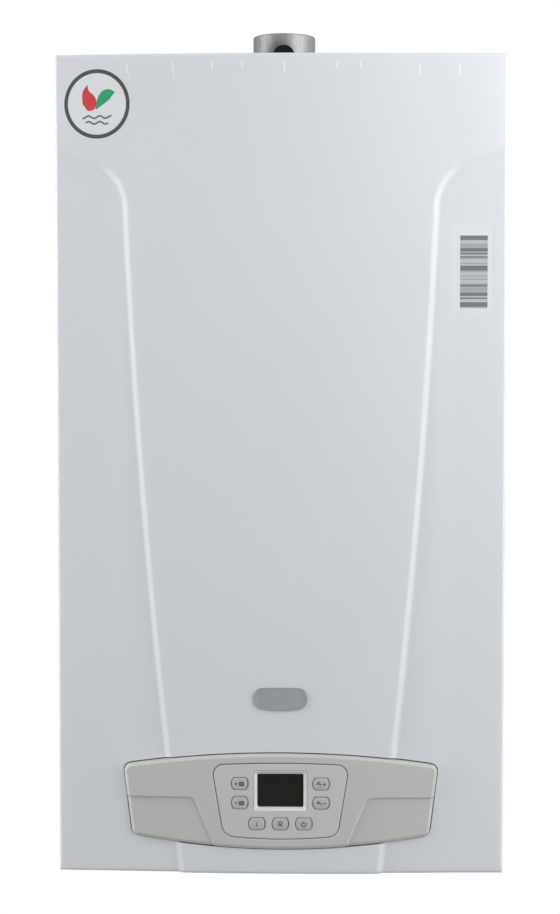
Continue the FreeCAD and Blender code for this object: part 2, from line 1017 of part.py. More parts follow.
def panel_block(name, names, grow, back, front):
    """Block with the panel's outline: bowed top and foot, leaning sides, round corners."""
    wide, crown, crown_radius, foot_wide, foot, foot_radius, corner = [
        getattr(s, alias) for alias in names
    ]
    wide, foot_wide = wide + grow, foot_wide + grow
    crown_radius, foot_radius = crown_radius + grow, foot_radius + grow
    crown_drop = crown_radius - root(crown_radius * crown_radius - wide * wide)
    foot_rise = foot_radius - root(foot_radius * foot_radius - foot_wide * foot_wide)
    high = up(crown) + grow - crown_drop
    low = up(foot) - grow + foot_rise
    owner = new_body(name)
    face = new_sketch(owner, "XZ_Plane", back)
    corners = [
        (-foot_wide, low, foot_radius),
        (foot_wide, low),
        (wide, high, crown_radius),
        (-wide, high),
    ]
    outline(face, corners)
    pad(owner, face, front - back)
    round_edges(owner, corner + grow, lambda edge: along(edge, "front"))
    return owner


def bow_block(name, crown_out):
    """Block whose front follows the cover's bow at a given crown distance."""
    owner = new_body(name)
    plan = new_sketch(owner, "XY_Plane", bottom)
    edge = crown_out - s.cover_bow
    back = bar_back
    outline(plan, [(-half, -back), (-half, -edge, bow_radius), (half, -edge), (half, -back)])
    pad(owner, plan, s.case_drop)
    return owner


def wing_block(name, side):
    """Block over one lower corner of the fascia, where its face steps back."""
    owner = new_body(name)
    face = new_sketch(owner, "XZ_Plane", box_front)
    corners = [
        (s.wing_foot_half, up(s.wing_foot_up)),
        (half, up(s.wing_foot_up)),
        (half, up(s.wing_line_up)),
        (s.wing_bend_half, up(s.wing_line_up)),
    ]
    outline(face, corners if side > 0 else mirrored(corners))
    pad(owner, face, fascia_out)
    return owner


def fascia():
    """Bowed panel frame with stepped-back lower corners and the keypad's opening."""
    front = fascia_out + s.overrun
    block = panel_block("fascia_block", FASCIA, Size(0), box_front, front)
    faced = overlap("fascia_faced", block, bow_block("fascia_bow", fascia_out))
    stepped = cut("fascia_wings", fuse("fascia_wing_pair", *both("fascia_wing", wing_block)),
                  bow_block("fascia_wing_floor", fascia_out - s.wing_depth))
    hollow = overlap("fascia_hollow",
                     panel_block("fascia_inside", FASCIA, -s.fascia_wall, bar_front, front),
                     bow_block("fascia_inside_bow", fascia_out - s.fascia_wall))
    opening = panel_block("fascia_opening", KEYPAD, s.keypad_gap, box_front, front)
    piece("control_fascia", cut("control_fascia", faced, stepped, hollow, opening))


def button_spots():
    """Label and centre of each push button, seen from the front."""
    return {
        "button_heating_up": (-s.button_column, up(s.button_upper_up)),
        "button_heating_down": (-s.button_column, up(s.button_middle_up)),
        "button_water_up": (s.button_column, up(s.button_upper_up)),
        "button_water_down": (s.button_column, up(s.button_middle_up)),
        "button_info": (-s.button_row, up(s.button_lower_up)),
        "button_reset": (Size(0), up(s.button_lower_up)),
        "button_power": (s.button_row, up(s.button_lower_up)),
    }


def keypad_plate():
    """Insert with seven button openings, a bevelled display opening and a rear flange."""
    front = fascia_out + s.overrun
    face = overlap("keypad_face", panel_block("keypad_block", KEYPAD, Size(0), keypad_back, front),
                   bow_block("keypad_bow", fascia_out - s.keypad_sunk))
    flange = overlap("keypad_back",
                     panel_block("keypad_edge", KEYPAD, s.keypad_flange, keypad_back, front),
                     bow_block("keypad_edge_bow", fascia_out - s.fascia_wall - s.keypad_sunk))
    openings = new_body("keypad_openings")
    outlines = new_sketch(openings, "XZ_Plane", box_front)
    for centre in button_spots().values():
        barrel(outlines, centre, s.button_half + s.button_gap,
               s.button_height + s.button_gap * 2, s.button_side_radius)
    rectangle(outlines, (-s.screen_half, s.screen_half), (up(s.screen_low_up), up(s.screen_high_up)))
    pad(openings, outlines, bar_front)
    bevel = screen_bevel()
    plate = fuse("keypad_solid", face, flange)
    piece("keypad_plate", cut("keypad_plate", plate, openings, bevel))


def screen_bevel():
    """Flaring block that opens the display's frame towards the front."""
    item = doc.addObject("Part::Wedge", "screen_bevel")
    item.Placement.Rotation = FreeCAD.Rotation(0, 0, 180)
    reach = s.screen_bevel + s.screen_half
    middle = up((s.screen_low_up + s.screen_high_up) / 2)
    tall = (s.screen_high_up - s.screen_low_up) / 2
    back = fascia_out - s.screen_depth
    bind(item, "Xmin", -s.screen_half)
    bind(item, "Xmax", s.screen_half)
    bind(item, "Zmin", -tall)
    bind(item, "Zmax", tall)
    bind(item, "Ymin", 0)
    bind(item, "Ymax", s.screen_depth)
    bind(item, "X2min", -reach)
    bind(item, "X2max", reach)
    bind(item, "Z2min", -tall - s.screen_bevel)
    bind(item, "Z2max", tall + s.screen_bevel)
    place(item, 0, back, middle)
    return item


def display_window():
    """Dark pane behind the keypad plate's display opening."""
    across = s.screen_half + s.glass_margin
    low, high = up(s.screen_low_up - s.glass_margin), up(s.screen_high_up + s.glass_margin)
    back = keypad_back - s.glass_thick
    piece("display_window", box("display_window", (-across, across), (back, keypad_back), (low, high)))


def push_button(label, centre):
    """Barrel-shaped cap with a retaining flange and a stem to its switch."""
    owner = new_body(label)
    seat = keypad_back - s.button_seat
    back = seat - s.button_flange_thick
    rear = new_sketch(owner, "XZ_Plane", back)
    grow = s.button_flange
    barrel(rear, centre, s.button_half + grow, s.button_height + grow * 2, s.button_side_radius)
    pad(owner, rear, s.button_flange_thick)
    cap = new_sketch(owner, "XZ_Plane", back)
    barrel(cap, centre, s.button_half, s.button_height, s.button_side_radius)
    face = fascia_out + s.button_proud
    pad(owner, cap, face - back)
    face_line = face.value - s.seam.value
    round_edges(owner, s.button_edge, lambda edge: reaches_out(edge, face_line))
    switch_top = board_back + s.board_thick + s.switch_height
    stem_end = switch_top + s.button_travel + s.button_stop
    stem = new_sketch(owner, "XZ_Plane", stem_end)
    circle(stem, centre, s.button_stem_radius)
    pad(owner, stem, back - stem_end + s.button_flange_thick / 2)
    piece(label, owner)


def control_box():
    """Rear housing with a front rim for the fascia and four posts for the board."""
    low, high = up(s.bar_high_up), up(s.box_high_up)
    wall = s.box_wall
    back, front = box_back, box_front
    outer = box("control_box_block", (-s.box_half, s.box_half), (back, front), (low, high))
    room = s.box_half - wall
    inside = box("control_box_room", (-room, room), (back + wall, front - wall),
                 (low + wall, high - wall))
    opening = panel_block("control_box_opening", FASCIA, -s.box_rim, bar_front, fascia_out)
    posts = [
        rod(f"control_box_post_{across}_{level}", (s.post_half * across, back, up(height)), "front",
            s.post_radius, board_back - back)
        for across in (-1, 1)
        for level, height in (("low", s.post_low_up), ("high", s.post_high_up))
    ]
    shell = cut("control_box_shell", outer, inside, opening)
    piece("control_box", fuse("control_box", shell, *posts))


def control_board():
    """Circuit board with the display module and one switch under each button."""
    front = board_back + s.board_thick
    board = box("board_sheet", (-s.board_half, s.board_half), (board_back, front),
                (up(s.board_low_up), up(s.board_high_up)))
    across = s.screen_half + s.glass_margin
    low, high = up(s.screen_low_up - s.glass_margin), up(s.screen_high_up + s.glass_margin)
    module = box("board_display", (-across, across), (board_back, keypad_back - s.glass_thick),
                 (low, high))
    reach = s.switch_side / 2
    switches = [
        box(label + "_switch", (spot[0] - reach, spot[0] + reach), (board_back, front + s.switch_height),
            (spot[1] - reach, spot[1] + reach))
        for label, spot in button_spots().items()
    ]
    piece("control_board", fuse("control_board", board, module, *switches))


# Flue and air fittings


def flue_spigot():
    """Turned spigot with a stop bead, a seal bead and a round test port towards the front."""
    owner = new_body("flue_spigot")
    bind(owner, "Placement.Base.y", -s.flue_out)
    low, high = up(s.scroll_high_up), top + s.spigot_rise
    bead = top + s.bead_rise
    seal = top + s.seal_bead_rise
    radius = s.spigot_radius
    profile = new_sketch(owner, "XZ_Plane")
    corners = [
        (radius - s.spigot_wall, low),
        (radius, low),
        (radius, bead),
        (s.bead_radius, bead),
        (s.bead_radius, bead + s.bead_height),
        (radius, bead + s.bead_height),
        (radius, seal),
        (s.seal_bead_radius, seal),
        (s.seal_bead_radius, seal + s.seal_bead_height),
        (radius, seal + s.seal_bead_height),
        (radius, high),
        (radius - s.spigot_wall, high),
    ]
    outline(profile, corners)
    turned = owner.newObject("PartDesign::Revolution", "spigot_turned")
    turned.Profile = profile
    turned.ReferenceAxis = (profile, ["V_Axis"])
    turned.Angle = 360
    port = new_sketch(owner, "XZ_Plane")
    circle(port, (0, top + s.port_hole_rise), s.port_hole_radius)
    pocket(owner, port, radius * 2)
    piece("flue_spigot", owner)


def flue_parts():
    """Sensing ring inside the spigot, gasket round its opening and blank of the air intake."""
    collar_up = up(s.scroll_high_up)
    radius = s.spigot_radius
    ring_radius = radius - s.spigot_wall - s.seam
    base = (0, s.flue_out, collar_up + s.collar_rise)
    ring = tube("sensing_tube", base, "up", (ring_radius, ring_radius - s.ring_wall), s.ring_height)
    middle = s.ring_height / 4 + collar_up + s.collar_rise
    span = ring_radius - s.ring_wall / 2
    bar = rod("sensing_bar", (-span, s.flue_out, middle), "right", s.sense_tube_radius, span * 2)
    piece("sensing_ring", fuse("sensing_ring", ring, bar))
    seat = (0, s.flue_out, top)
    seal = tube("flue_gasket", seat, "up", (s.gasket_outer, s.opening_radius), s.gasket_thick)
    piece("flue_gasket", seal)
    side = -intake_side
    plate = rod("blank_plate", (side, s.flue_out, top), "up", s.blank_radius, s.blank_sheet)
    dome = cone("blank_dome", (side, s.flue_out, top + s.blank_sheet), "up",
                (s.blank_dome, s.blank_dome - s.blank_rise), s.blank_rise)
    piece("air_intake_blank", fuse("air_intake_blank", plate, dome))


# Sealed chamber and the burner side

chamber_top = top - s.case_sheet - s.chamber_play
lid_back = s.chamber_front_out + s.chamber_gasket


def sealed_chamber():
    """Sheet box open to the front behind an inturned rim, holed for flue, air and pipes."""
    wide, sheet_wall = chamber_half, s.case_sheet
    low = up(s.chamber_low_up)
    back, front = s.frame_depth, s.chamber_front_out
    outer = box("chamber_block", (-wide, wide), (back, front), (low, chamber_top))
    room = wide - sheet_wall
    inside = box("chamber_room", (-room, room), (back + sheet_wall, front - sheet_wall),
                 (low + sheet_wall, chamber_top - sheet_wall))
    rim = s.chamber_lip
    mouth = box("chamber_mouth", (rim - wide, wide - rim), (front - sheet_wall * 2, front + sheet_wall),
                (low + rim, chamber_top - rim))
    holes = [
        rod("chamber_flue", (0, s.flue_out, chamber_top - s.overrun), "up",
            s.opening_radius, s.overrun * 2),
        rod("chamber_air", (-intake_side, s.flue_out, chamber_top - s.overrun), "up",
            s.intake_radius, s.overrun * 2),
    ]
    pipes = {
        "gas": (0, s.manifold_out, low - s.overrun),
        "flow": (-riser_half, s.riser_out, low - s.overrun),
        "return": (riser_half, s.riser_out, low - s.overrun),
    }
    for name, spot in pipes.items():
        holes.append(rod(f"chamber_{name}", spot, "up", s.pipe_radius + s.pipe_play, s.overrun * 2))
    piece("sealed_chamber", cut("sealed_chamber", outer, inside, mouth, *holes))


def chamber_front():
    """Gasket, pressed lid with the sight hole, and its glass."""
    wide = chamber_half - s.lid_margin
    low, high = up(s.chamber_low_up) + s.lid_margin, chamber_top - s.lid_margin
    rim = s.chamber_lip - s.lid_margin
    front = s.chamber_front_out
    frame = box("gasket_block", (-wide, wide), (front, lid_back), (low, high))
    hole = box("gasket_hole", (rim - wide, wide - rim), (front, lid_back), (low + rim, high - rim))
    piece("chamber_gasket", cut("chamber_gasket", frame, hole))
    owner = new_body("lid_panel")
    sheet_wall = s.case_sheet
    flat = new_sketch(owner, "XZ_Plane", lid_back)
    rectangle(flat, (-wide, wide), (low, high))
    pad(owner, flat, sheet_wall)
    inset = s.lid_inset
    raised = new_sketch(owner, "XZ_Plane", lid_back + sheet_wall)
    rectangle(raised, (inset - wide, wide - inset), (low + inset, high - inset))
    pad(owner, raised, s.lid_raise, -s.lid_taper)
    hollow = new_sketch(owner, "XZ_Plane", lid_back)
    inset = inset + sheet_wall / 2
    rectangle(hollow, (inset - wide, wide - inset), (low + inset, high - inset))
    pocket(owner, hollow, s.lid_raise, -s.lid_taper)
    face = lid_back + sheet_wall + s.lid_raise
    spot = (0, face, up(s.sight_up))
    seat = s.sight_radius + s.seam
    collar = tube("sight_collar", spot, "front", (seat + s.sight_rim, seat), s.sight_glass)
    bore = rod("sight_bore", (0, lid_back, up(s.sight_up)), "front", s.sight_bore, s.lid_raise * 2)
    piece("chamber_cover", cut("chamber_cover", fuse("lid_solid", owner, collar), bore))
    piece("sight_glass", rod("sight_glass", spot, "front", s.sight_radius, s.sight_glass))


def burner():
    """Row of thin burner ramps between two end plates and two rails."""
    owner = new_body("burner_ramps")
    first = -s.burner_pitch * (s.burner_count - 1) / 2 - s.ramp_width / 2
    profile = new_sketch(owner, "YZ_Plane", first)
    low, high = up(s.ramp_low_up), up(s.ramp_high_up)
    back, front = s.ramp_back_out, s.ramp_front_out
    corners = [
        (-front, low),
        (-back, low),
        (-back, high),
        (-front, high),
        (-front, high - s.burner_rail),
        (-front + s.ramp_neck, low + s.ramp_throat + s.burner_rail / 2),
        (-front, low + s.ramp_throat),
    ]
    outline(profile, corners)
    ramp = pad(owner, profile, s.ramp_width)
    row = owner.newObject("PartDesign::LinearPattern", "burner_row")
    row.Originals = [ramp]
    row.Direction = (profile, ["N_Axis"])
    bind(row, "Occurrences", s.burner_count)
    bind(row, "Length", s.burner_pitch * (s.burner_count - 1))
    owner.Tip = row
    wide = s.fire_half
    floor = up(s.chamber_low_up) + s.case_sheet
    thick = s.burner_plate
    ends = [
        box(f"burner_end_{side}", edges, (s.fire_back_out, s.fire_front_out), (floor, high))
        for side, edges in (("left", (-wide, thick - wide)), ("right", (wide - thick, wide)))
    ]
    rails = [
        box(f"burner_rail_{name}", (-wide, wide), out, (high - s.burner_rail, high))
        for name, out in (
            ("back", (s.fire_back_out, s.ramp_back_out + thick)),
            ("front", (s.ramp_front_out - thick, s.fire_front_out)),
        )
    ]
    piece("burner", fuse("burner", owner, *ends, *rails))


def gas_manifold():
    """Feed tube across the burner with one injector facing each ramp."""
    wide = s.manifold_half
    level = up(s.manifold_up)
    bar = rod("manifold_bar", (-wide, s.manifold_out, level), "right", s.manifold_radius, wide * 2)
    foot = rod("manifold_foot", (0, s.manifold_out, level), "down", s.manifold_radius, s.manifold_drop)
    count = SIZES["burner_count"]
    length = s.manifold_out - s.ramp_front_out - s.injector_gap
    nozzles = []
    for number in range(count):
        across = s.burner_pitch * (number - (count - 1) / 2)
        spot = (across, s.manifold_out, level)
        nozzles.append(rod(f"injector_{number}", spot, "back", s.injector_radius, length))
    piece("gas_manifold", fuse("gas_manifold", bar, foot, *nozzles))


def open_box(name, across, out, height, wall):
    """Four upright walls without floor or lid."""
    outer = box(name + "_outer", (-across, across), out, height)
    room = across - wall
    inner = box(name + "_inner", (-room, room), (out[0] + wall, out[1] - wall), height)
    return cut(name, outer, inner)


def combustion():
    """Sheet walls above the burner, fibre panels inside them, and two electrodes."""
    low, high = up(s.ramp_high_up), up(s.fire_high_up)
    out = (s.fire_back_out, s.fire_front_out)
    walls = open_box("fire_walls", s.fire_half, out, (low, high), s.fire_sheet)
    level = up(s.electrode_up)
    port_out = s.ramp_front_out - s.fibre_thick
    ports = [
        rod(f"fire_port_{side}", (s.electrode_half * side, port_out, level), "front",
            s.ceramic_radius + s.seam, s.fibre_thick * 4)
        for side in (-1, 1)
    ]
    piece("combustion_box", cut("combustion_box", walls, *ports))
    wide, wall, thick = s.fire_half - s.fire_sheet, s.fire_sheet, s.fibre_thick
    back, front = out[0] + wall, out[1] - wall
    span = (low + s.fibre_foot, high)
    panels = {
        "left": ((-wide, thick - wide), (back + thick, front - thick)),
        "right": ((wide - thick, wide), (back + thick, front - thick)),
        "back": ((-wide, wide), (back, back + thick)),
    }
    slabs = [box(f"fibre_{name}", across, deep, span) for name, (across, deep) in panels.items()]
    slab = box("fibre_front_block", (-wide, wide), (front - thick, front), span)
    slabs.append(cut("fibre_front", slab, *ports))
    piece("insulation_panels", group("insulation_panels", *slabs))
    rods = []
    for side in (-1, 1):
        across = s.electrode_half * side
        spot = (across, s.ceramic_tip_out, level)
        stem = rod(f"electrode_ceramic_{side}", spot, "front", s.ceramic_radius,
                   s.ceramic_out - s.ceramic_tip_out)
        collar = rod(f"electrode_collar_{side}", (across, s.fire_front_out, level), "front",
                     s.ceramic_collar, s.burner_plate)
        wire = rod(f"electrode_wire_{side}", spot, "back", s.wire_radius,
                   s.ceramic_tip_out - s.wire_tip_out)
        rods.append(fuse(f"electrode_{side}", stem, collar, wire))
    piece("electrodes", group("electrodes", *rods))


def heat_exchanger():
    """Finned copper core with one tube end at each side."""
    owner = new_body("core_fins")
    low, high = up(s.fire_high_up), up(s.core_high_up)
    wide = s.fire_half
    back, front = s.fire_back_out, s.fire_front_out
    profile = new_sketch(owner, "YZ_Plane", -wide)
    rectangle(profile, (-front, -back), (low, high))
    fin = pad(owner, profile, s.fin_thick)
    row = owner.newObject("PartDesign::LinearPattern", "core_row")
    row.Originals = [fin]
    row.Direction = (profile, ["N_Axis"])
    bind(row, "Occurrences", s.fin_count)
    bind(row, "Length", wide * 2 - s.fin_thick)
    owner.Tip = row
    inset = s.core_inset
    core = box("core_block", (-wide, wide), (back + inset, front - inset), (low, high))
    level = up(s.core_tube_up)
    ends = [
        rod(f"core_tube_{way}", (wide * side, s.riser_out, level), way,
            s.core_tube_radius, s.core_tube_reach)
        for side, way in ((-1, "left"), (1, "right"))
    ]
    piece("heat_exchanger", fuse("heat_exchanger", owner, core, *ends))


def hood_block(name, inset):
    """Skirt, slope and upright duct of the fume hood, drawn in by an inset."""
    owner = new_body(name)
    low = up(s.core_high_up)
    skirt = low + s.hood_skirt
    slope = up(s.hood_slope_up)
    wide = s.fire_half - inset
    back, front = s.fire_back_out + inset, s.fire_front_out - inset
    base = new_sketch(owner, "XY_Plane", low)
    rectangle(base, (-wide, wide), (-front, -back))
    pad(owner, base, s.hood_skirt)
    wide_line = new_sketch(owner, "XY_Plane", skirt)
    rectangle(wide_line, (-wide, wide), (-front, -back))
    duct = (s.fan_side - s.duct_half + inset, s.fan_side + s.duct_half - inset)
    duct_out = (inset - s.fan_back_out, -s.duct_back_out - inset)
    narrow_line = new_sketch(owner, "XY_Plane", slope)
    rectangle(narrow_line, duct, duct_out)
    loft = owner.newObject("PartDesign::AdditiveLoft", name + "_slope")
    loft.Profile = wide_line
    loft.Sections = [narrow_line]
    loft.Ruled = True
    riser = new_sketch(owner, "XY_Plane", slope)
    rectangle(riser, duct, duct_out)
    pad(owner, riser, up(s.duct_high_up) - slope - inset)
    return owner


def fume_hood():
    """Sheet hood that gathers the fumes and leads them to the fan's eye."""
    eye = rod("hood_eye", (s.fan_side, s.fan_back_out - s.overrun, up(s.fan_up)), "front",
              s.fan_eye_radius, s.overrun * 2)
    shell = hood_block("hood_outer", Size(0))
    inside = hood_block("hood_inner", s.hood_sheet)
    piece("fume_hood", cut("fume_hood", shell, inside, eye))


def scroll_block(name, inset, out):
    """Growing scroll of three arcs that opens into a straight outlet at the top."""
    owner = new_body(name)
    across, level = s.fan_side, up(s.fan_up)
    small, step = s.scroll_small_radius - inset, s.scroll_step
    middle, large = small + step, small + step * 2
    high = up(s.scroll_high_up)
    face = new_sketch(owner, "XZ_Plane", out[0])
    corners = [
        (across, high),
        (across, level + small, -small),
        (across + small, level, -middle),
        (across + small - middle, level - middle, -large),
        (across + small - middle - large, level - middle + large),
        (across + small - middle - large, high),
    ]
    outline(face, corners)
    pad(owner, face, out[1] - out[0])
    return owner


def fan_housing():
    """Scroll with the suction eye behind, the shaft hole in front and a round outlet collar."""
    wall = s.fan_sheet
    back, front = s.fan_back_out, s.fan_front_out
    outer = scroll_block("scroll_outer", Size(0), (back, front))
    inside = scroll_block("scroll_inner", wall, (back + wall, front - wall))
    axis = (s.fan_side, back - s.overrun, up(s.fan_up))
    eye = rod("scroll_eye", axis, "front", s.fan_eye_radius, s.overrun * 2)
    nose = rod("scroll_nose", axis, "front", s.motor_nose_radius, front - back + s.overrun * 2)
    radius = s.spigot_radius - s.spigot_wall - s.seam
    collar_low = up(s.scroll_high_up)
    lid = box("scroll_lid", (s.fan_side - s.scroll_small_radius - s.scroll_step * 2, s.fan_side),
              (back, front), (collar_low - wall, collar_low))
    mouth = (0, s.flue_out, collar_low - wall)
    collar = rod("scroll_collar", mouth, "up", radius, s.collar_rise + wall)
    bore = rod("scroll_bore", mouth, "up", radius - wall, s.collar_rise + wall)
    shell = cut("scroll_shell", outer, inside, eye, nose)
    level = up(s.scroll_high_up) - s.nipple_spread
    left = s.fan_side - s.scroll_small_radius - s.scroll_step * 2
    nipples = [
        rod(f"scroll_nipple_{side}", (left, s.flue_out + s.nipple_spread * side, level), "left",
            s.nipple_radius, s.nipple_length)
        for side in (-1, 1)
    ]
    solid = fuse("scroll_solid", shell, lid, collar, *nipples)
    piece("fan_housing", cut("fan_housing", solid, bore))


def fan_impeller():
    """Wheel of forward-leaning blades between a hub disc and an eye ring, on its shaft."""
    across, level = s.fan_side, up(s.fan_up)
    back = s.fan_back_out + s.fan_sheet + s.wheel_gap
    front = s.fan_front_out - s.fan_sheet - s.wheel_gap
    owner = new_body("wheel_blades")
    bind(owner, "Placement.Base.x", across)
    bind(owner, "Placement.Base.z", level)
    blade = new_sketch(owner, "XZ_Plane", back)
    thick = s.blade_thick
    inner, outer = s.wheel_eye_radius, s.wheel_radius - s.blade_thick
    lean, curl = s.blade_lean, s.blade_curl
    corners = [
        (inner, -lean, curl),
        (outer, lean),
        (outer, lean + thick, -curl),
        (inner, thick - lean),
    ]
    outline(blade, corners)
    first = pad(owner, blade, front - back)
    ring = owner.newObject("PartDesign::PolarPattern", "wheel_row")
    ring.Originals = [first]
    ring.Axis = (blade, ["N_Axis"])
    bind(ring, "Occurrences", s.blade_count)
    ring.Angle = 360
    owner.Tip = ring
    radius, plate = s.wheel_radius, s.wheel_disc
    disc = rod("wheel_disc", (across, front - plate, level), "front", radius, plate)
    rim = tube("wheel_rim", (across, back, level), "front", (radius, s.wheel_eye_radius), plate)
    hub_length = (front - back) / 2
    hub_spot = (across, front - hub_length, level)
    hub = rod("wheel_hub", hub_spot, "front", s.hub_radius, hub_length)
    shaft_end = s.fan_front_out + s.motor_foot + s.motor_length / 2
    shaft = rod("wheel_shaft", hub_spot, "front", s.shaft_radius, shaft_end - front + hub_length)
    piece("fan_impeller", fuse("fan_impeller", owner, disc, rim, hub, shaft))


def fan_motor():
    """Motor can on a round foot, bored for the wheel's shaft."""
    across, level = s.fan_side, up(s.fan_up)
    face = s.fan_front_out
    foot = rod("motor_foot", (across, face, level), "front", s.motor_foot_radius, s.motor_foot)
    can = rod("motor_can", (across, face, level), "front", s.motor_radius, s.motor_foot + s.motor_length)
    cap = cone("motor_cap", (across, face + s.motor_foot + s.motor_length, level), "front",
               (s.motor_radius, s.motor_nose_radius), s.motor_nose_radius / 2)
    bore = rod("motor_bore", (across, face, level), "front", s.shaft_radius + s.shaft_fit,
               s.motor_foot + s.motor_length / 2 + s.seam)
    piece("fan_motor", cut("fan_motor", fuse("motor_solid", foot, can, cap), bore))


def bend_radius(runs, turn, wanted):
    """Wanted bend, or the largest that leaves a tenth of the shorter run straight."""
    room = min(run.Length for run in runs) * BEND_SHARE / math.tan(turn / 2)
    return min(room, wanted)


def bent_rod(spots, radius, wanted):
    """Round solid along straight runs joined by tangent bends."""
    points = [
        FreeCAD.Vector(as_size(x).value, -as_size(out).value, as_size(z).value) for x, out, z in spots
    ]
    solids = []
    start = points[0]
    for before, corner, after in zip(points, points[1:], points[2:]):
        runs = (before - corner, after - corner)
        turn = math.pi - runs[0].getAngle(runs[1])
        bend = bend_radius(runs, turn, wanted)
        into = FreeCAD.Vector(runs[0]).normalize()
        away = FreeCAD.Vector(runs[1]).normalize()
        set_back = bend * math.tan(turn / 2)
        first = corner + into * set_back
        solids.append(Part.makeCylinder(radius, (first - start).Length, start, first - start))
        centre = corner + (into + away).normalize() * (bend / math.cos(turn / 2))
        rim = Part.Face(Part.Wire(Part.Circle(first, into, radius).toShape()))
        solids.append(rim.revolve(centre, away.cross(into), math.degrees(turn)))
        start = corner + away * set_back
    last = points[-1] - start
    solids.append(Part.makeCylinder(radius, last.Length, start, last))
    return solids[0].multiFuse(solids[1:]).removeSplitter()


def pipe_piece(label, routes, radius, wall, wanted):
    """One or more hollow pipes along their routes."""
    solids = []
    for spots in routes:
        outer = bent_rod(spots, radius.value, wanted)
        inner = bent_rod(spots, (radius - wall).value, wanted)
        solids.append(outer.cut(inner))
    item = doc.addObject("Part::Feature", label)
    item.Shape = solids[0] if len(solids) == 1 else Part.makeCompound(solids)
    piece(label, item)


def air_switch():
    """Round pressure switch on the chamber wall and its two hoses to the fan outlet."""
    wall = s.case_sheet - chamber_half
    level = up(s.switch_up)
    spot = (wall, s.switch_out, level)
    case = rod("switch_case", spot, "right", s.switch_radius, s.switch_thick)
    rim = rod("switch_edge", (wall + s.switch_thick / 2, s.switch_out, level), "right",
              s.switch_radius + s.switch_rim, s.switch_rim)
    face = wall + s.switch_thick
    outs = [s.switch_out + s.nipple_spread * side for side in (-1, 1)]
    nipples = [
        rod(f"switch_nipple_{number}", (face, out, level), "right", s.nipple_radius, s.nipple_length)
        for number, out in enumerate(outs)
    ]
    piece("air_pressure_switch", fuse("air_pressure_switch", case, rim, *nipples))
    end = s.fan_side - s.scroll_small_radius - s.scroll_step * 2 - s.nipple_length
    end_up = up(s.scroll_high_up) - s.nipple_spread
    start = face + s.nipple_length
    routes = []
    for side, out in zip((-1, 1), outs):
        drop = start + (end - start) * (0.5 - 0.14 * side)
        target = s.flue_out + s.nipple_spread * side
        routes.append([
            (start, out, level),
            (drop, out, level),
            (drop, target, end_up),
            (end, target, end_up),
        ])
    wall = s.hose_radius - s.nipple_radius + s.seam
    pipe_piece("pressure_hoses", routes, s.hose_radius, wall, math.inf)


# Water and gas side

LARGE = (s.large_thread_radius, s.hex_large)
SMALL = (s.small_thread_radius, s.hex_small)
CONNECTIONS = [(-2, *LARGE), (-1, *SMALL), (0, *LARGE), (1, *SMALL), (2, *LARGE)]


def connection(number, thread, nut_radius):
    """Threaded stub with a relief through the bottom plate and a hexagon resting on it."""
    name = f"connection_{number + 3}"
    across = s.pipe_pitch * number
    neck = thread - s.thread_relief
    low, high = up(s.thread_end_up), up(s.connection_top_up)
    relief = up(s.thread_top_up)
    stub = rod(name + "_thread", (across, s.pipe_out, low), "up", thread, relief - low)
    body_rod = rod(name + "_neck", (across, s.pipe_out, low), "up", neck, high - low)
    nut = hexagon(name + "_hex", (across, s.pipe_out, up(s.plate_up)), "up", nut_radius, s.hex_height)
    bore = rod(name + "_bore", (across, s.pipe_out, low), "up", thread - s.connection_wall, high - low)
    return cut(name, fuse(name + "_solid", stub, body_rod, nut), bore)


def connections():
    """Two water stubs of the small size; two water stubs and the gas stub of the large size."""
    large = [connection(*entry) for entry in CONNECTIONS[::2]]
    small = [connection(*entry) for entry in CONNECTIONS[1::2]]
    piece("connections_large", group("connections_large", *large))
    piece("connections_small", group("connections_small", *small))


def group_base(name, side):
    """Shared form of both water groups: cross tube, end caps, two feet, two plate ports."""
    level = up(s.group_up)
    way = "right" if side > 0 else "left"
    length = s.group_outer_half - s.group_inner_half
    inner = (s.group_inner_half * side, s.pipe_out, level)
    outer = (s.group_outer_half * side, s.pipe_out, level)
    parts = [
        rod(name + "_tube", inner, way, s.group_radius, length),
        hexagon(name + "_cap", outer, way, s.group_cap_radius, s.group_cap),
    ]
    foot = up(s.connection_top_up)
    for number in (1, 2):
        spot = (s.pipe_pitch * number * side, s.pipe_out, foot)
        parts.append(rod(f"{name}_foot_{number}", spot, "up", s.port_radius, level - foot))
    for number, rise in ((1, s.plate_port_rise), (2, -s.plate_port_rise)):
        spot = (s.plate_port_half * side, s.pipe_out, level + rise)
        reach = s.pipe_out - s.stack_front_out
        parts.append(rod(f"{name}_plate_port_{number}", spot, "back", s.plate_port_radius, reach))
    return parts


def riser(name, across, high, radius):
    """Upright port on top of a water group."""
    level = up(s.group_up)
    return rod(name, (across, s.pipe_out, level), "up", radius, up(high) - level)


def flow_group():
    """Left group with the diverter seat, the flow port and the safety valve."""
    parts = group_base("flow", -1)
    level = up(s.group_up)
    parts.append(riser("flow_diverter_seat", s.pipe_pitch * -2, s.diverter_port_up,
                       s.diverter_port_radius))
    parts.append(riser("flow_riser", -s.pipe_pitch, s.flow_port_up, s.flow_port_radius))
    spot = (-s.safety_half, s.pipe_out, level)
    reach = s.safety_out - s.pipe_out
    parts.append(rod("safety_barrel", spot, "front", s.safety_radius, reach))
    parts.append(hexagon("safety_hex", (spot[0], s.pipe_out, level), "front", s.safety_hex, reach * 0.75))
    bore = rod("safety_bore", (spot[0], s.safety_out, level), "back", s.spindle_radius + s.spindle_fit,
               s.spindle_depth + s.seam)
    piece("flow_group", cut("flow_group", fuse("flow_solid", *parts), bore))


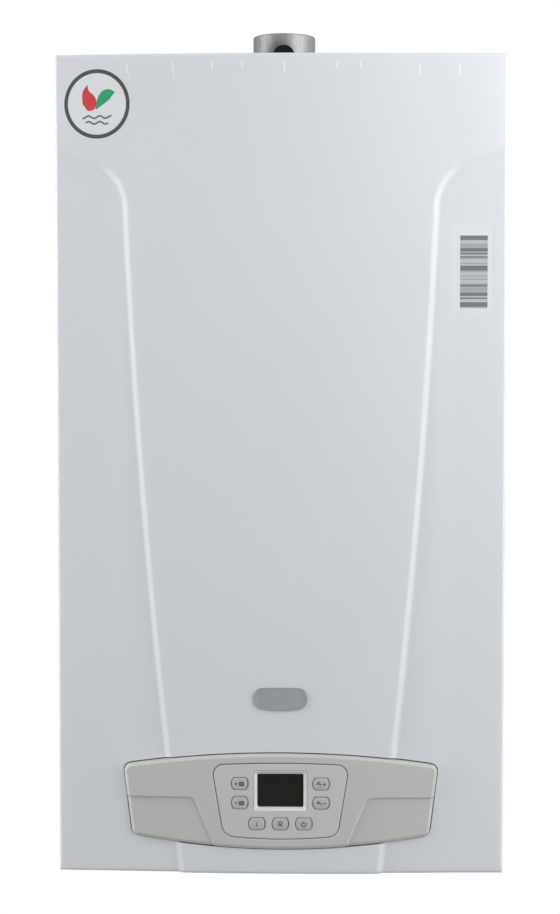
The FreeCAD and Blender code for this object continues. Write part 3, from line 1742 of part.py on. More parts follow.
def return_group():
    """Right group with the pump seat, the expansion port and the filling valve boss."""
    parts = group_base("return", 1)
    parts.append(riser("return_pump_seat", s.pump_half, s.pump_port_up, s.pump_port_radius))
    parts.append(riser("return_vessel_port", s.vessel_port_half, s.vessel_port_up, s.vessel_port_radius))
    low = up(s.fill_boss_up)
    spot = (s.fill_half, s.pipe_out, low)
    parts.append(rod("fill_boss", spot, "up", s.fill_boss_radius, up(s.group_up) - low))
    bore = rod("fill_bore", spot, "up", s.spindle_radius + s.spindle_fit, s.spindle_depth + s.seam)
    piece("return_group", cut("return_group", fuse("return_solid", *parts), bore))


def lobed_knob(name, start, way, radius, length):
    """Round knob with raised grips round its rim."""
    parts = [rod(name + "_core", start, way, radius - s.lobe_radius / 2, length)]
    count = SIZES["knob_lobes"]
    for number in range(count):
        angle = 2 * math.pi * number / count
        first, second = math.cos(angle), math.sin(angle)
        reach = radius - s.lobe_radius
        across, out, level = start
        if way in ("front", "back"):
            spot = (across + reach * first, out, level + reach * second)
        else:
            spot = (across + reach * first, out + reach * second, level)
        parts.append(rod(f"{name}_lobe_{number}", spot, way, s.lobe_radius, length))
    return parts


def knobs():
    """Turning knobs of the safety valve and the filling valve, each on its spindle."""
    level = up(s.group_up)
    face = (-s.safety_half, s.safety_out + s.knob_gap, level)
    parts = lobed_knob("safety_knob", face, "front", s.safety_knob_radius, s.safety_knob)
    depth = s.spindle_depth + s.knob_gap
    parts.append(rod("safety_spindle", face, "back", s.spindle_radius, depth))
    piece("safety_valve_knob", fuse("safety_valve_knob", *parts))
    high = up(s.fill_knob_high_up)
    spot = (s.fill_half, s.pipe_out, high)
    parts = lobed_knob("fill_knob", spot, "down", s.fill_knob_radius, high - up(s.fill_knob_low_up))
    length = up(s.fill_boss_up) + s.spindle_depth - high
    parts.append(rod("fill_spindle", spot, "up", s.spindle_radius, length))
    piece("filling_valve_knob", fuse("filling_valve_knob", *parts))


def diverter_motor():
    """Rounded drive box on the diverter seat with a round cap above."""
    across = s.pipe_pitch * -2
    reach, deep = s.diverter_wide / 2, s.diverter_deep / 2
    low, high = up(s.diverter_port_up), up(s.diverter_high_up)
    owner = new_body("diverter_box")
    plan = new_sketch(owner, "XY_Plane", low)
    rectangle(plan, (across - reach, across + reach), (-s.pipe_out - deep, deep - s.pipe_out))
    pad(owner, plan, high - low)
    round_edges(owner, s.diverter_round, lambda edge: along(edge, "up"))
    cap = rod("diverter_cap", (across, s.pipe_out, high), "up", s.diverter_cap_radius, s.diverter_cap)
    piece("diverter_motor", fuse("diverter_motor", owner, cap))


def plate_exchanger():
    """Brazed stack of plates behind the two water groups."""
    wide, inset = s.stack_half, s.stack_core_inset
    low, high = up(s.stack_low_up), up(s.stack_high_up)
    front = s.stack_front_out
    owner = new_body("stack_plates")
    face = new_sketch(owner, "XZ_Plane", front - s.stack_plate)
    rectangle(face, (-wide, wide), (low, high))
    plate = pad(owner, face, s.stack_plate)
    row = owner.newObject("PartDesign::LinearPattern", "stack_row")
    row.Originals = [plate]
    row.Direction = (face, ["N_Axis"])
    row.Reversed = True
    bind(row, "Occurrences", s.stack_count)
    spread = s.stack_pitch * (s.stack_count - 1)
    bind(row, "Length", spread)
    owner.Tip = row
    core = box("stack_core", (inset - wide, wide - inset), (front - spread - s.stack_plate, front),
               (low + inset, high - inset))
    piece("plate_heat_exchanger", fuse("plate_heat_exchanger", owner, core))


def pump():
    """Pump body with its foot and outlet, and the motor can with its terminal box."""
    across, level = s.pump_half, up(s.pump_up)
    back, front = s.pump_back_out, s.pump_front_out
    volute = rod("pump_volute", (across, back, level), "front", s.pump_radius, front - back)
    rim = rod("pump_rim", (across, front - s.pump_rim, level), "front", s.pump_rim_radius, s.pump_rim)
    foot_low = up(s.pump_port_up)
    foot = rod("pump_foot", (across, s.pipe_out, foot_low), "up", s.pump_boss_radius, level - foot_low)
    spot = (riser_half, s.riser_out, level)
    outlet = rod("pump_outlet", spot, "up", s.pump_outlet_radius, up(s.pump_outlet_up) - level)
    piece("pump_body", fuse("pump_body", volute, rim, foot, outlet))
    can = rod("pump_can", (across, front, level), "front", s.can_radius, s.can_length)
    plug = rod("pump_plug", (across, front + s.can_length, level), "front", s.can_cap_radius, s.can_cap)
    reach = s.terminal_wide / 2
    lead_out = front + s.pump_rim
    lead = box("pump_terminals", (across - reach, across + reach), (lead_out, lead_out + s.terminal_long),
               (level - s.can_radius - s.terminal_high / 2, level))
    piece("pump_motor", fuse("pump_motor", can, plug, lead))


def gas_valve():
    """Valve block with inlet, outlet, two coils and a regulator cap."""
    low, high = up(s.valve_low_up), up(s.valve_high_up)
    wide = s.valve_half
    block = box("valve_block", (-wide, wide), (s.valve_back_out, s.valve_front_out), (low, high))
    foot = up(s.connection_top_up)
    inlet = rod("valve_inlet", (0, s.pipe_out, foot), "up", s.valve_inlet_radius, low - foot)
    outlet = rod("valve_outlet", (0, s.valve_outlet_out, high), "up", s.valve_outlet_radius,
                 up(s.valve_outlet_up) - high)
    middle = (low + high) / 2
    coil = rod("valve_coil", (0, s.coil_out, high), "up", s.coil_radius, up(s.coil_up) - high)
    cap = rod("valve_cap", (0, s.valve_front_out, middle), "front",
              s.regulator_radius, s.regulator_length)
    side_coil = rod("valve_side_coil", (wide, s.valve_outlet_out, middle), "right",
                    s.coil_radius, s.coil_radius)
    piece("gas_valve", fuse("gas_valve", block, inlet, outlet, coil, cap, side_coil))


def pipes():
    """Copper pipes from the groups and the gas valve to the chamber and the vessel."""
    side, out = riser_half, s.riser_out
    tube_level = up(s.core_tube_up)
    core_end = s.fire_half + s.core_tube_reach
    flow = [
        (-s.pipe_pitch, s.pipe_out, up(s.flow_port_up)),
        (-s.pipe_pitch, s.pipe_out, up(s.flow_turn_up)),
        (-side, out, up(s.flow_rise_up)),
        (-side, out, tube_level),
        (-core_end, out, tube_level),
    ]
    back = [
        (side, out, up(s.pump_outlet_up)),
        (side, out, tube_level),
        (core_end, out, tube_level),
    ]
    gas = [
        (0, s.valve_outlet_out, up(s.valve_outlet_up)),
        (0, s.valve_outlet_out, up(s.gas_turn_up)),
        (0, s.manifold_out, up(s.gas_rise_up)),
        (0, s.manifold_out, up(s.manifold_up) - s.manifold_drop),
    ]
    vessel = [
        (s.vessel_port_half, s.vessel_pipe_out, up(s.vessel_low_up) - s.vessel_nipple),
        (s.vessel_port_half, s.vessel_pipe_out, up(s.vessel_pipe_turn_up)),
        (s.vessel_port_half, s.pipe_out, up(s.vessel_pipe_turn_up)),
        (s.vessel_port_half, s.pipe_out, up(s.vessel_port_up)),
    ]
    pipe_piece("flow_pipe", [flow], s.pipe_radius, s.pipe_wall, s.pipe_bend.value)
    pipe_piece("return_pipe", [back], s.pipe_radius, s.pipe_wall, s.pipe_bend.value)
    pipe_piece("gas_pipe", [gas], s.pipe_radius, s.pipe_wall, s.pipe_bend.value)
    pipe_piece("expansion_pipe", [vessel], s.small_pipe_radius, s.pipe_wall, s.pipe_bend.value)


def expansion_vessel():
    """Flat rounded vessel with a rolled seam, a pipe nipple below and a charging valve."""
    owner = new_body("vessel_body")
    wide = s.vessel_half
    low, high = up(s.vessel_low_up), up(s.vessel_high_up)
    back = s.frame_sheet
    face = new_sketch(owner, "XZ_Plane", back)
    rectangle(face, (-wide, wide), (low, high))
    pad(owner, face, s.vessel_thick)
    round_edges(owner, s.vessel_corner, lambda edge: along(edge, "front"))
    middle_out = as_size(back + s.vessel_thick / 2).value
    round_edges(owner, s.vessel_round, lambda edge: abs(abs(edge.CenterOfMass.y) - middle_out) > 1)
    seam = new_body("vessel_seam")
    grow = s.vessel_seam
    line = new_sketch(seam, "XZ_Plane", back + s.vessel_thick / 2 - s.vessel_seam_thick / 2)
    rectangle(line, (-wide - grow, wide + grow), (low - grow, high + grow))
    pad(seam, line, s.vessel_seam_thick)
    round_edges(seam, s.vessel_corner + grow, lambda edge: along(edge, "front"))
    spot = (s.vessel_port_half, s.vessel_pipe_out, low + s.vessel_nipple)
    nipple = rod("vessel_nipple", spot, "down", s.vessel_port_radius, s.vessel_nipple * 2)
    valve = rod("vessel_valve", (s.vessel_valve_half, s.vessel_pipe_out, high - s.vessel_nipple), "up",
                s.small_pipe_radius, s.vessel_nipple * 2)
    piece("expansion_vessel", fuse("expansion_vessel", owner, seam, nipple, valve))


def gauge():
    """Round gauge facing down from the bottom plate, with its needle and lens."""
    across, out = -s.gauge_half, gauge_out
    plate_low = up(s.plate_up) - s.plate_sheet
    low, dial = up(s.gauge_low_up), up(s.gauge_dial_up)
    can = rod("gauge_can", (across, out, dial), "up", s.gauge_radius, up(s.gauge_high_up) - dial)
    bezel = rod("gauge_bezel", (across, out, low), "up", s.gauge_bezel_radius, plate_low - low)
    room = rod("gauge_room", (across, out, low), "up", s.gauge_radius - s.gauge_rim, dial - low)
    bore = rod("gauge_bore", (across, out, dial), "up", s.needle_pin_radius + s.needle_fit,
               s.needle_pin_depth + s.seam)
    piece("pressure_gauge", cut("pressure_gauge", fuse("gauge_solid", can, bezel), room, bore))
    piece("gauge_lens", rod("gauge_lens", (across, out, up(s.gauge_lens_up)), "up",
                            s.gauge_radius - s.gauge_rim, s.gauge_lens))
    level = up(s.needle_low_up)
    pin = rod("needle_pin", (across, out, level), "up", s.needle_pin_radius,
              dial + s.needle_pin_depth - level)
    reach = s.needle_width / 2
    hand = box("needle_hand", (across - s.needle_length, across + s.needle_tail),
               (out - reach, out + reach), (level, level + s.needle_thick))
    hub = rod("needle_hub", (across, out, level), "up", s.needle_width, s.needle_thick)
    piece("gauge_needle", fuse("gauge_needle", pin, hand, hub))


def cable_gland():
    """Ribbed gland for the supply cable, clipped through the bottom plate."""
    across, out = s.gland_side, gland_out
    low, high = up(s.gland_low_up), up(s.gland_high_up)
    plate_low = up(s.plate_up) - s.plate_sheet
    body_rod = rod("gland_body", (across, out, low), "up", s.gland_radius, high - low)
    radius, thick = s.gland_flange_radius, s.gland_flange
    below = rod("gland_below", (across, out, plate_low - thick), "up", radius, thick)
    above = rod("gland_above", (across, out, up(s.plate_up)), "up", radius, thick)
    bore = rod("gland_bore", (across, out, low), "up", s.gland_bore, high - low)
    piece("cable_gland", cut("cable_gland", fuse("gland_solid", body_rod, below, above), bore))


# Building every piece

rear_frame()
side_panel("side_panel_left", -1)
side_panel("side_panel_right", 1)
top_panel()
bottom_plate()
lower_crossbar()
front_cover()
badge()
fascia()
keypad_plate()
display_window()
for button_label, button_centre in button_spots().items():
    push_button(button_label, button_centre)
control_box()
control_board()
flue_spigot()
flue_parts()
sealed_chamber()
chamber_front()
burner()
gas_manifold()
combustion()
heat_exchanger()
fume_hood()
fan_housing()
fan_impeller()
fan_motor()
air_switch()
connections()
flow_group()
return_group()
knobs()
diverter_motor()
plate_exchanger()
pump()
gas_valve()
pipes()
expansion_vessel()
gauge()
cable_gland()
doc.recompute()

# Checking and writing the pieces

for entry in doc.Objects:
    if "Invalid" in entry.State or "Error" in entry.State:
        raise RuntimeError(f"{entry.Label} did not build: {entry.State}")
os.makedirs("parts", exist_ok=True)
for label, entry in pieces.items():
    shape = entry.Shape
    if shape.isNull() or not shape.isValid():
        raise RuntimeError(f"{label} has no valid shape")
    shape.exportStep(f"parts/{label}.step")
    print(label, len(shape.Solids), round(shape.Volume), shape.BoundBox)
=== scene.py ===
# %% [markdown]
# # A wall-hung gas boiler, dressed for its picture
# The solid model of the boiler comes in first. It is a fixed frame: sixty named pieces, already in
# their places, in metres, with the hanging line of the wall at height zero and the front looking
# along -Y. This lesson never moves them. It gives each one a finish, and makes finer surfaces for
# the pieces that the eye meets first: the pressed cover, the control panel and its buttons.

# %% Load the frame
import json
import math

import bmesh
import bpy
import numpy as np
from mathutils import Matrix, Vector


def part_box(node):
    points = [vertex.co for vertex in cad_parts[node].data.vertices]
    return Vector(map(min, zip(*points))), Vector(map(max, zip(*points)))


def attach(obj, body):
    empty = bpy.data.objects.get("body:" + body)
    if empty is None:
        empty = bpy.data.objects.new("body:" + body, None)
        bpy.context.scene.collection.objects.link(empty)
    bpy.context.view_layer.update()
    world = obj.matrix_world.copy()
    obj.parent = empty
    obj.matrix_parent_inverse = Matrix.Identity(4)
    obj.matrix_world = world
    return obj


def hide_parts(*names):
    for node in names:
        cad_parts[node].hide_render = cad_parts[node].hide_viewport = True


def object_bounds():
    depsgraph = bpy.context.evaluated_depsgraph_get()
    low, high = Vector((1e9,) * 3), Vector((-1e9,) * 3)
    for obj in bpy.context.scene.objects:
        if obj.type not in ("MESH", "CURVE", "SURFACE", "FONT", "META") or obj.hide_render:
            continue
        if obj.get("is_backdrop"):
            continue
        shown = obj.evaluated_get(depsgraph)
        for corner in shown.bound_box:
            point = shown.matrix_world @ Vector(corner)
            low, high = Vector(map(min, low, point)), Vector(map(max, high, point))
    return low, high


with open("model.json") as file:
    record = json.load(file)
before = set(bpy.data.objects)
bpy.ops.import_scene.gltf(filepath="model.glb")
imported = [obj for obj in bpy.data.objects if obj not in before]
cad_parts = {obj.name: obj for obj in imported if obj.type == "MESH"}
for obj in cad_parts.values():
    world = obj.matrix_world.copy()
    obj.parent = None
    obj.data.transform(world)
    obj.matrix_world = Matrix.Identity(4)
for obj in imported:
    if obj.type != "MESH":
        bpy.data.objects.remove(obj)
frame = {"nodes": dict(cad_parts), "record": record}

MM = 0.001
cad_low, cad_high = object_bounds()
nodes = frame["nodes"]
cover_low, cover_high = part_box("front_cover")
HALF_WIDTH = cover_high.x
LOWER_EDGE, UPPER_EDGE = cover_low.z, cover_high.z
COVER_REACH, COVER_BACK = -cover_low.y, -cover_high.y


def above_edge(height):
    """Height in the frame of a point so many millimetres above the casing's lower edge."""
    return LOWER_EDGE + height * MM


def box_middle(name):
    """The middle of a solid's box."""
    return sum(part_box(name), Vector()) / 2


print(len(nodes), "pieces, casing", round(HALF_WIDTH * 2, 4), "wide and",
      round(UPPER_EDGE - LOWER_EDGE, 4), "high,", round(COVER_REACH, 4), "from the wall")

# %% [markdown]
# ## The studio
# The picture shows the boiler almost straight from the front, from a little above its middle, on
# white. A long lens about two metres away gives the same slight convergence, so the camera is a
# place, a small downward pitch and a small turn to the left, found by laying the casing's corners
# over the picture. The white comes from the world and the floor, and not from more light on the
# boiler: rays from the camera, from mirrors and through glass see plain white, while the light
# that falls on the casing stays at an ordinary level.

# %% Camera
EYE = Vector((35.7 * MM, -1858.95 * MM, -229.6 * MM))
PITCH_DOWN = math.radians(3.117)
TURN_LEFT = math.radians(1.32)
LENS = 69.62
SENSOR = 36

camera_data = bpy.data.cameras.new("portrait_camera")
camera_data.lens = LENS
camera_data.sensor_width = SENSOR
camera_data.sensor_fit = "AUTO"
camera = bpy.data.objects.new("portrait_camera", camera_data)
camera.location = EYE
camera.rotation_euler = (math.pi / 2 - PITCH_DOWN, 0, TURN_LEFT)
bpy.context.scene.collection.objects.link(camera)
bpy.context.scene.camera = camera
bpy.context.scene.view_settings.view_transform = "Standard"
print("camera", round(EYE.length, 3), "m from the hanging line, lens", LENS)

# %% [markdown]
# ## A short way to write shaders
# A material is a web of small nodes, and wiring it by hand hides the idea. Here a socket is
# wrapped in a class that knows arithmetic, so `0.3 + 0.1 * grain` adds its own Math nodes.
# Everything else, such as a noise or a colour mix, comes from one method that takes the node's
# type, its settings and what goes into its sockets. What never changes over a surface is set
# straight on the shader.

# %% Wires
class Wire:
    """An output socket in a web of nodes. Arithmetic with it adds Math nodes to that web."""

    def __init__(self, web, socket):
        self.web = web
        self.socket = socket

    def maths(self, operation, first, second):
        """Adds a Math node on two wires or numbers, in their order."""
        return self.web.node("ShaderNodeMath", {"operation": operation}, {0: first, 1: second})

    def __add__(self, other):
        return self.maths("ADD", self, other)

    def __radd__(self, other):
        return self.maths("ADD", other, self)

    def __sub__(self, other):
        return self.maths("SUBTRACT", self, other)

    def __rsub__(self, other):
        return self.maths("SUBTRACT", other, self)

    def __mul__(self, other):
        return self.maths("MULTIPLY", self, other)

    def __rmul__(self, other):
        return self.maths("MULTIPLY", other, self)

    def __truediv__(self, other):
        return self.maths("DIVIDE", self, other)

    def __rtruediv__(self, other):
        return self.maths("DIVIDE", other, self)

    def __gt__(self, other):
        return self.maths("GREATER_THAN", self, other)

    def __lt__(self, other):
        return self.maths("LESS_THAN", self, other)


print("reflected forms:", [name for name in vars(Wire) if name.startswith("__r")])

# %% Webs of nodes
class Web:
    """The shader nodes of a material or of the world."""

    def __init__(self, tree):
        self.tree = tree

    def node(self, kind, settings=None, values=None, output=0):
        """Adds a node: its settings, then a value or a wire on each socket. Gives one output."""
        added = self.tree.nodes.new(kind)
        for name, setting in (settings or {}).items():
            setattr(added, name, setting)
        for name, value in (values or {}).items():
            if isinstance(value, Wire):
                self.tree.links.new(value.socket, added.inputs[name])
            else:
                added.inputs[name].default_value = value
        return Wire(self, added.outputs[output])

    def larger(self, first, second):
        """The larger of two values."""
        return self.node("ShaderNodeMath", {"operation": "MAXIMUM"}, {0: first, 1: second})

    def end(self, name, wire):
        """Leads a shader to the output node."""
        self.tree.links.new(wire.socket, self.tree.nodes[name].inputs["Surface"])


def shade(red, green, blue):
    """The linear colour of a shade that a screen shows as red, green, blue from 0 to 255."""
    screen = np.array([red, green, blue]) / 255
    linear = np.where(screen <= 0.04045, screen / 12.92, ((screen + 0.055) / 1.055) ** 2.4)
    return (*linear.tolist(), 1.0)


print("a mid grey of 128 is", round(shade(128, 128, 128)[0], 3), "in linear light")

# %% Finishes
finishes = {}


class Finish(Web):
    """A material with one Principled shader, whose sockets take constants or wires."""

    def __init__(self, name, constants=None):
        self.material = bpy.data.materials.new(name)
        self.material.use_nodes = True
        super().__init__(self.material.node_tree)
        self.shader = self.tree.nodes["Principled BSDF"]
        for socket, value in (constants or {}).items():
            self.shader.inputs[socket].default_value = value
        finishes[name] = self

    def place(self, stretch=(1.0, 1.0, 1.0), centre=(0.0, 0.0, 0.0)):
        """Object coordinates, moved so that the centre is at zero and then stretched."""
        where = self.node("ShaderNodeTexCoord", output="Object")
        moved = self.node("ShaderNodeVectorMath", {"operation": "SUBTRACT"}, {0: where, 1: centre})
        return self.node("ShaderNodeVectorMath", {"operation": "MULTIPLY"}, {0: moved, 1: stretch})

    def distance(self, stretch=(1.0, 1.0, 1.0), centre=(0.0, 0.0, 0.0)):
        """How far a point lies from the centre, after the same stretch."""
        return self.node("ShaderNodeVectorMath", {"operation": "LENGTH"},
                         {0: self.place(stretch, centre)}, "Value")

    def axis(self, name):
        """One of the object coordinates."""
        return self.node("ShaderNodeSeparateXYZ", values={0: self.place()}, output=name)

    def noise(self, scale, detail=2.0, stretch=(1.0, 1.0, 1.0)):
        """Cloudy noise from 0 to 1, with about `scale` clouds in a metre."""
        values = {"Vector": self.place(stretch), "Scale": scale, "Detail": detail}
        return self.node("ShaderNodeTexNoise", values=values)

    def ease(self, wire, low, high):
        """0 where the wire is at low, 1 where it is at high, and a smooth slope between."""
        values = {"Value": wire, "From Min": low, "From Max": high}
        return self.node("ShaderNodeMapRange", {"interpolation_type": "SMOOTHSTEP"}, values)

    def mix(self, factor, first, second):
        """A colour between two others, each a wire or the red, green and blue of a screen."""
        first, second = (end if isinstance(end, Wire) else shade(*end) for end in (first, second))
        values = {0: factor, 6: first, 7: second}
        return self.node("ShaderNodeMix", {"data_type": "RGBA"}, values, 2)

    def feed(self, socket, wire):
        """Leads a wire to one of the shader's sockets."""
        self.tree.links.new(wire.socket, self.shader.inputs[socket])

    def bump(self, height, depth):
        """Relief of the surface: heights from 0 to 1 stand for 0 to `depth` millimetres."""
        values = {"Strength": 1.0, "Distance": depth * MM, "Height": height}
        self.feed("Normal", self.node("ShaderNodeBump", values=values))


print("a finish can make", [name for name in vars(Finish) if not name.startswith("_")])

# %% [markdown]
# ## Sheet-metal enamel and moulded plastics
# The casing is steel sheet with a baked white powder coat. Up close such a coat has a fine orange
# peel, and its gloss drifts a little from place to place, which is why a single colour looks like
# plastic. The two sides get the same enamel a shade greyer: painted shade against the side lamps.
# The panel is grey ABS with a spark-eroded grain. All could be painted as pictures; noise in
# object space needs no seams and no unwrapping, and its grain has a true size in millimetres.

# %% Coated and moulded finishes
BAKED = {"Coat Weight": 0.12, "Coat Roughness": 0.3}
LACQUERED = {"Coat Weight": 0.2, "Coat Roughness": 0.15}


def grained(slot, low, high, roughness, grain, depth, constants=None):
    """Two near shades in slow clouds, a fine grain of a given count per metre, and its relief in
    millimetres."""
    finish = Finish(slot, constants)
    cloud = finish.noise(9.0)
    fine = finish.noise(grain, 3.0)
    finish.feed("Base Color", finish.mix(0.75 * cloud + 0.25 * fine, low, high))
    finish.feed("Roughness", roughness - 0.06 + 0.12 * finish.noise(grain * 0.13))
    finish.bump(fine, depth)
    return finish


grained("white_enamel", (211, 215, 219), (216, 220, 224), 0.46, 620, 0.012, BAKED)
# Painted shade: the front's enamel a shade greyer, for the two sides that face the lamps.
grained("painted_shade_side_enamel", (199, 203, 207), (204, 208, 212), 0.46, 620, 0.012, BAKED)
grained("panel_grey", (186, 187, 184), (192, 193, 190), 0.52, 1500, 0.02)
grained("keypad_grey", (191, 192, 189), (197, 198, 195), 0.48, 1500, 0.015)
grained("button_grey", (176, 177, 174), (182, 183, 180), 0.42, 1700, 0.012)
grained("black_plastic", (29, 29, 30), (38, 38, 39), 0.46, 1300, 0.02)
grained("knob_blue", (28, 74, 142), (36, 86, 156), 0.42, 1500, 0.015)
grained("gauge_black", (24, 24, 25), (31, 31, 32), 0.38, 1500, 0.01)
grained("needle_red", (186, 30, 26), (202, 40, 32), 0.4, 2400, 0.006)
grained("motor_grey", (74, 77, 80), (86, 89, 92), 0.5, 900, 0.03)
grained("vessel_red", (150, 26, 24), (168, 34, 30), 0.34, 520, 0.02, LACQUERED)
print(len(finishes), "coated and moulded finishes")

# %% [markdown]
# ## Metals
# Inside the case nearly everything is metal, and each kind carries the mark of how it was made.
# Hot-dip galvanising freezes into spangles, rolled tube carries fine rings and upright streaks, a
# plate is brushed one way, and copper and brass tarnish in clouds. Each mark is a pattern that
# changes the colour and the gloss a little: cells for spangle, stretched noise for lines. The flue
# tube also carries painted light: a painted highlight on its right side, a painted dark
# reflection round its port, and dark painted shade inside it.

# %% Sheet and tube
METAL = {"Metallic": 1.0}
TEST_PORT = (0.0, -157 * MM, above_edge(750.5))
# Middle of the painted dark reflection on the flue tube, a little left of its test port.
DARK_REFLECTION_MIDDLE = (-4 * MM, *TEST_PORT[1:])
# Colour of the painted dark reflection and of the painted shade inside the flue tube.
PAINTED_DARK_COLOUR = (24, 23, 22)
# Inside this radius the tube is painted dark, as shade.
INTERIOR_SHADE_RADIUS = 29.6 * MM


def galvanised(slot, dark, pale, cells):
    """Spangles: each cell of a Voronoi pattern gets its own grey and its own gloss."""
    finish = Finish(slot, METAL)
    values = {"Vector": finish.place(), "Scale": cells, "Randomness": 1.0}
    cell = finish.node("ShaderNodeTexVoronoi", values=values, output="Color")
    level = finish.node("ShaderNodeSeparateColor", values={0: cell})
    dust = finish.noise(700, 3.0)
    finish.feed("Base Color", finish.mix(0.7 * level + 0.3 * dust, dark, pale))
    finish.feed("Roughness", 0.42 + 0.12 * level + 0.08 * dust)
    finish.bump(dust, 0.008)


def brushed(slot, dark, pale, roughness, stretch):
    """Fine lines: noise squeezed along one or two directions, over slow clouds of tarnish."""
    finish = Finish(slot, METAL)
    lines = finish.noise(60, 3.0, stretch)
    cloud = finish.noise(28, 3.0)
    finish.feed("Base Color", finish.mix(0.6 * lines + 0.4 * cloud, dark, pale))
    finish.feed("Roughness", roughness + 0.14 * lines + 0.1 * cloud)
    finish.bump(lines, 0.006)


def tube_with_painted_light(slot, dark, pale):
    """Rolled tube: fine lines round it and upright streaks, with painted light on top: a painted
    highlight on its right side, a painted dark reflection about its test port, and dark painted
    shade wherever the distance from its axis is under a limit."""
    finish = Finish(slot)
    # Painted shade: the inside of the tube, past its wall, is painted dark and not metallic.
    painted_interior_shade = finish.distance((1.0, 1.0, 0.0), tuple(box_middle("flue_spigot"))) < INTERIOR_SHADE_RADIUS
    # Painted dark reflection: the tube is darkened round its test port.
    painted_dark_reflection = 0.58 * (1 - finish.ease(finish.distance(centre=DARK_REFLECTION_MIDDLE), 6 * MM, 20 * MM))
    # Painted highlight: the tube's right side is painted brighter than its left.
    painted_side_highlight = finish.ease(finish.axis("X"), -24 * MM, 18 * MM)
    lines = finish.noise(60, 3.0, (0.4, 0.4, 42.0))
    streaks = finish.noise(60, 3.0, (7.0, 7.0, 1.2))
    steel = finish.mix(0.2 * lines + 0.5 * streaks + 0.3 * painted_side_highlight, dark, pale)
    finish.feed("Base Color", finish.mix(painted_interior_shade, finish.mix(painted_dark_reflection, steel, PAINTED_DARK_COLOUR), PAINTED_DARK_COLOUR))
    finish.feed("Metallic", 1 - painted_interior_shade)
    finish.feed("Roughness", 0.42 + 0.14 * lines + 0.1 * streaks + 0.4 * painted_interior_shade)
    finish.bump(lines, 0.006)


galvanised("galvanised_sheet", (136, 139, 142), (166, 169, 171), 210)
tube_with_painted_light("spigot_steel", (74, 75, 76), (168, 169, 169))
brushed("badge_metal", (122, 125, 128), (150, 153, 156), 0.34, (0.5, 8.0, 40.0))
brushed("burner_steel", (148, 147, 144), (180, 179, 176), 0.3, (6.0, 1.0, 1.0))
print(len(finishes), "finishes with the steels")

# %% Copper, brass and painted iron
def tarnished(slot, bright, dull, dark, roughness):
    """Bright metal with clouds of a duller shade, and small dark spots of flux and handling."""
    finish = Finish(slot, METAL)
    cloud = finish.ease(finish.noise(42, 4.0), 0.38, 0.68)
    flux = finish.ease(finish.noise(330), 0.62, 0.74)
    finish.feed("Base Color", finish.mix(0.55 * flux, finish.mix(cloud, bright, dull), dark))
    finish.feed("Roughness", roughness + 0.2 * cloud + 0.12 * flux)
    finish.bump(finish.noise(480), 0.01)


tarnished("copper", (204, 128, 92), (150, 84, 60), (88, 58, 48), 0.2)
tarnished("brass", (198, 168, 104), (164, 132, 76), (110, 92, 62), 0.24)
grained("cast_iron_paint", (54, 56, 58), (68, 70, 72), 0.58, 420, 0.09)
print(len(finishes), "finishes with the other metals")

# %% [markdown]
# ## Soft, clear and electric materials
# The last finishes are the odd ones. Ceramic fibre board is a mat of pale threads, rubber has a
# dusty bloom, the display is dark glass over a darker cell pattern, and a circuit board is green
# lacquer over copper tracks. Tracks can be had from a brick pattern, whose joints run in straight
# lines with square turns.

# %% Fibre, ceramic and rubber
def fibrous(slot, dark, pale, depth):
    """Crossing threads: two noises stretched at right angles, the higher one on top."""
    finish = Finish(slot, {"Roughness": 0.92})
    across = finish.noise(90, 3.0, (9.0, 1.0, 1.0))
    along = finish.noise(90, 3.0, (1.0, 1.0, 9.0))
    threads = finish.larger(across, along)
    finish.feed("Base Color", finish.mix(finish.ease(threads, 0.35, 0.75), dark, pale))
    finish.bump(threads, depth)


def dusty(slot, plain, bloom, roughness):
    """Rubber: a plain shade with a paler bloom in clouds, and mould grain."""
    finish = Finish(slot)
    cloud = finish.ease(finish.noise(36, 4.0), 0.45, 0.8)
    finish.feed("Base Color", finish.mix(0.6 * cloud, plain, bloom))
    finish.feed("Roughness", roughness + 0.15 * cloud)
    finish.bump(finish.noise(900), 0.02)


fibrous("ceramic_fibre", (196, 188, 170), (232, 226, 212), 0.25)
grained("ceramic_white", (226, 222, 212), (238, 235, 228), 0.22, 800, 0.01)
dusty("seal_rubber", (34, 34, 35), (84, 84, 84), 0.62)
dusty("hose_rubber", (178, 172, 160), (206, 202, 194), 0.48)
print(len(finishes), "finishes with the soft ones")

# %% Glass, screen and circuit board
def clear(slot):
    """Glass: full transmission, with faint smears that only change its gloss."""
    finish = Finish(slot, {"Transmission Weight": 1.0, "IOR": 1.46, "Base Color": (1, 1, 1, 1)})
    finish.feed("Roughness", 0.02 + 0.06 * finish.ease(finish.noise(60, 3.0), 0.5, 0.8))


def display(slot, dark, pale):
    """A dark screen: a cell grid of half a millimetre, a shade apart, under smooth glass."""
    finish = Finish(slot, {"Specular IOR Level": 0.12})
    values = {"Vector": finish.place(), "Scale": 2000.0}
    cells = finish.node("ShaderNodeTexChecker", values=values, output="Fac")
    cloud = finish.noise(30)
    finish.feed("Base Color", finish.mix(0.5 * cells + 0.5 * cloud, dark, pale))
    finish.feed("Roughness", 0.16 + 0.08 * cloud)


def circuit(slot, lacquer, paler, track):
    """Green lacquer, with the joints of a brick pattern as copper tracks under it."""
    finish = Finish(slot, {"Coat Weight": 0.5, "Coat Roughness": 0.2})
    upright = {"Vector": finish.place(), "Rotation": (math.pi / 2, 0, 0)}
    values = {"Vector": finish.node("ShaderNodeMapping", values=upright), "Scale": 55.0,
              "Mortar Size": 0.05, "Color1": shade(*lacquer), "Color2": shade(*paler),
              "Mortar": shade(*track)}
    finish.feed("Base Color", finish.node("ShaderNodeTexBrick", values=values))
    finish.feed("Roughness", 0.32 + 0.14 * finish.noise(300))


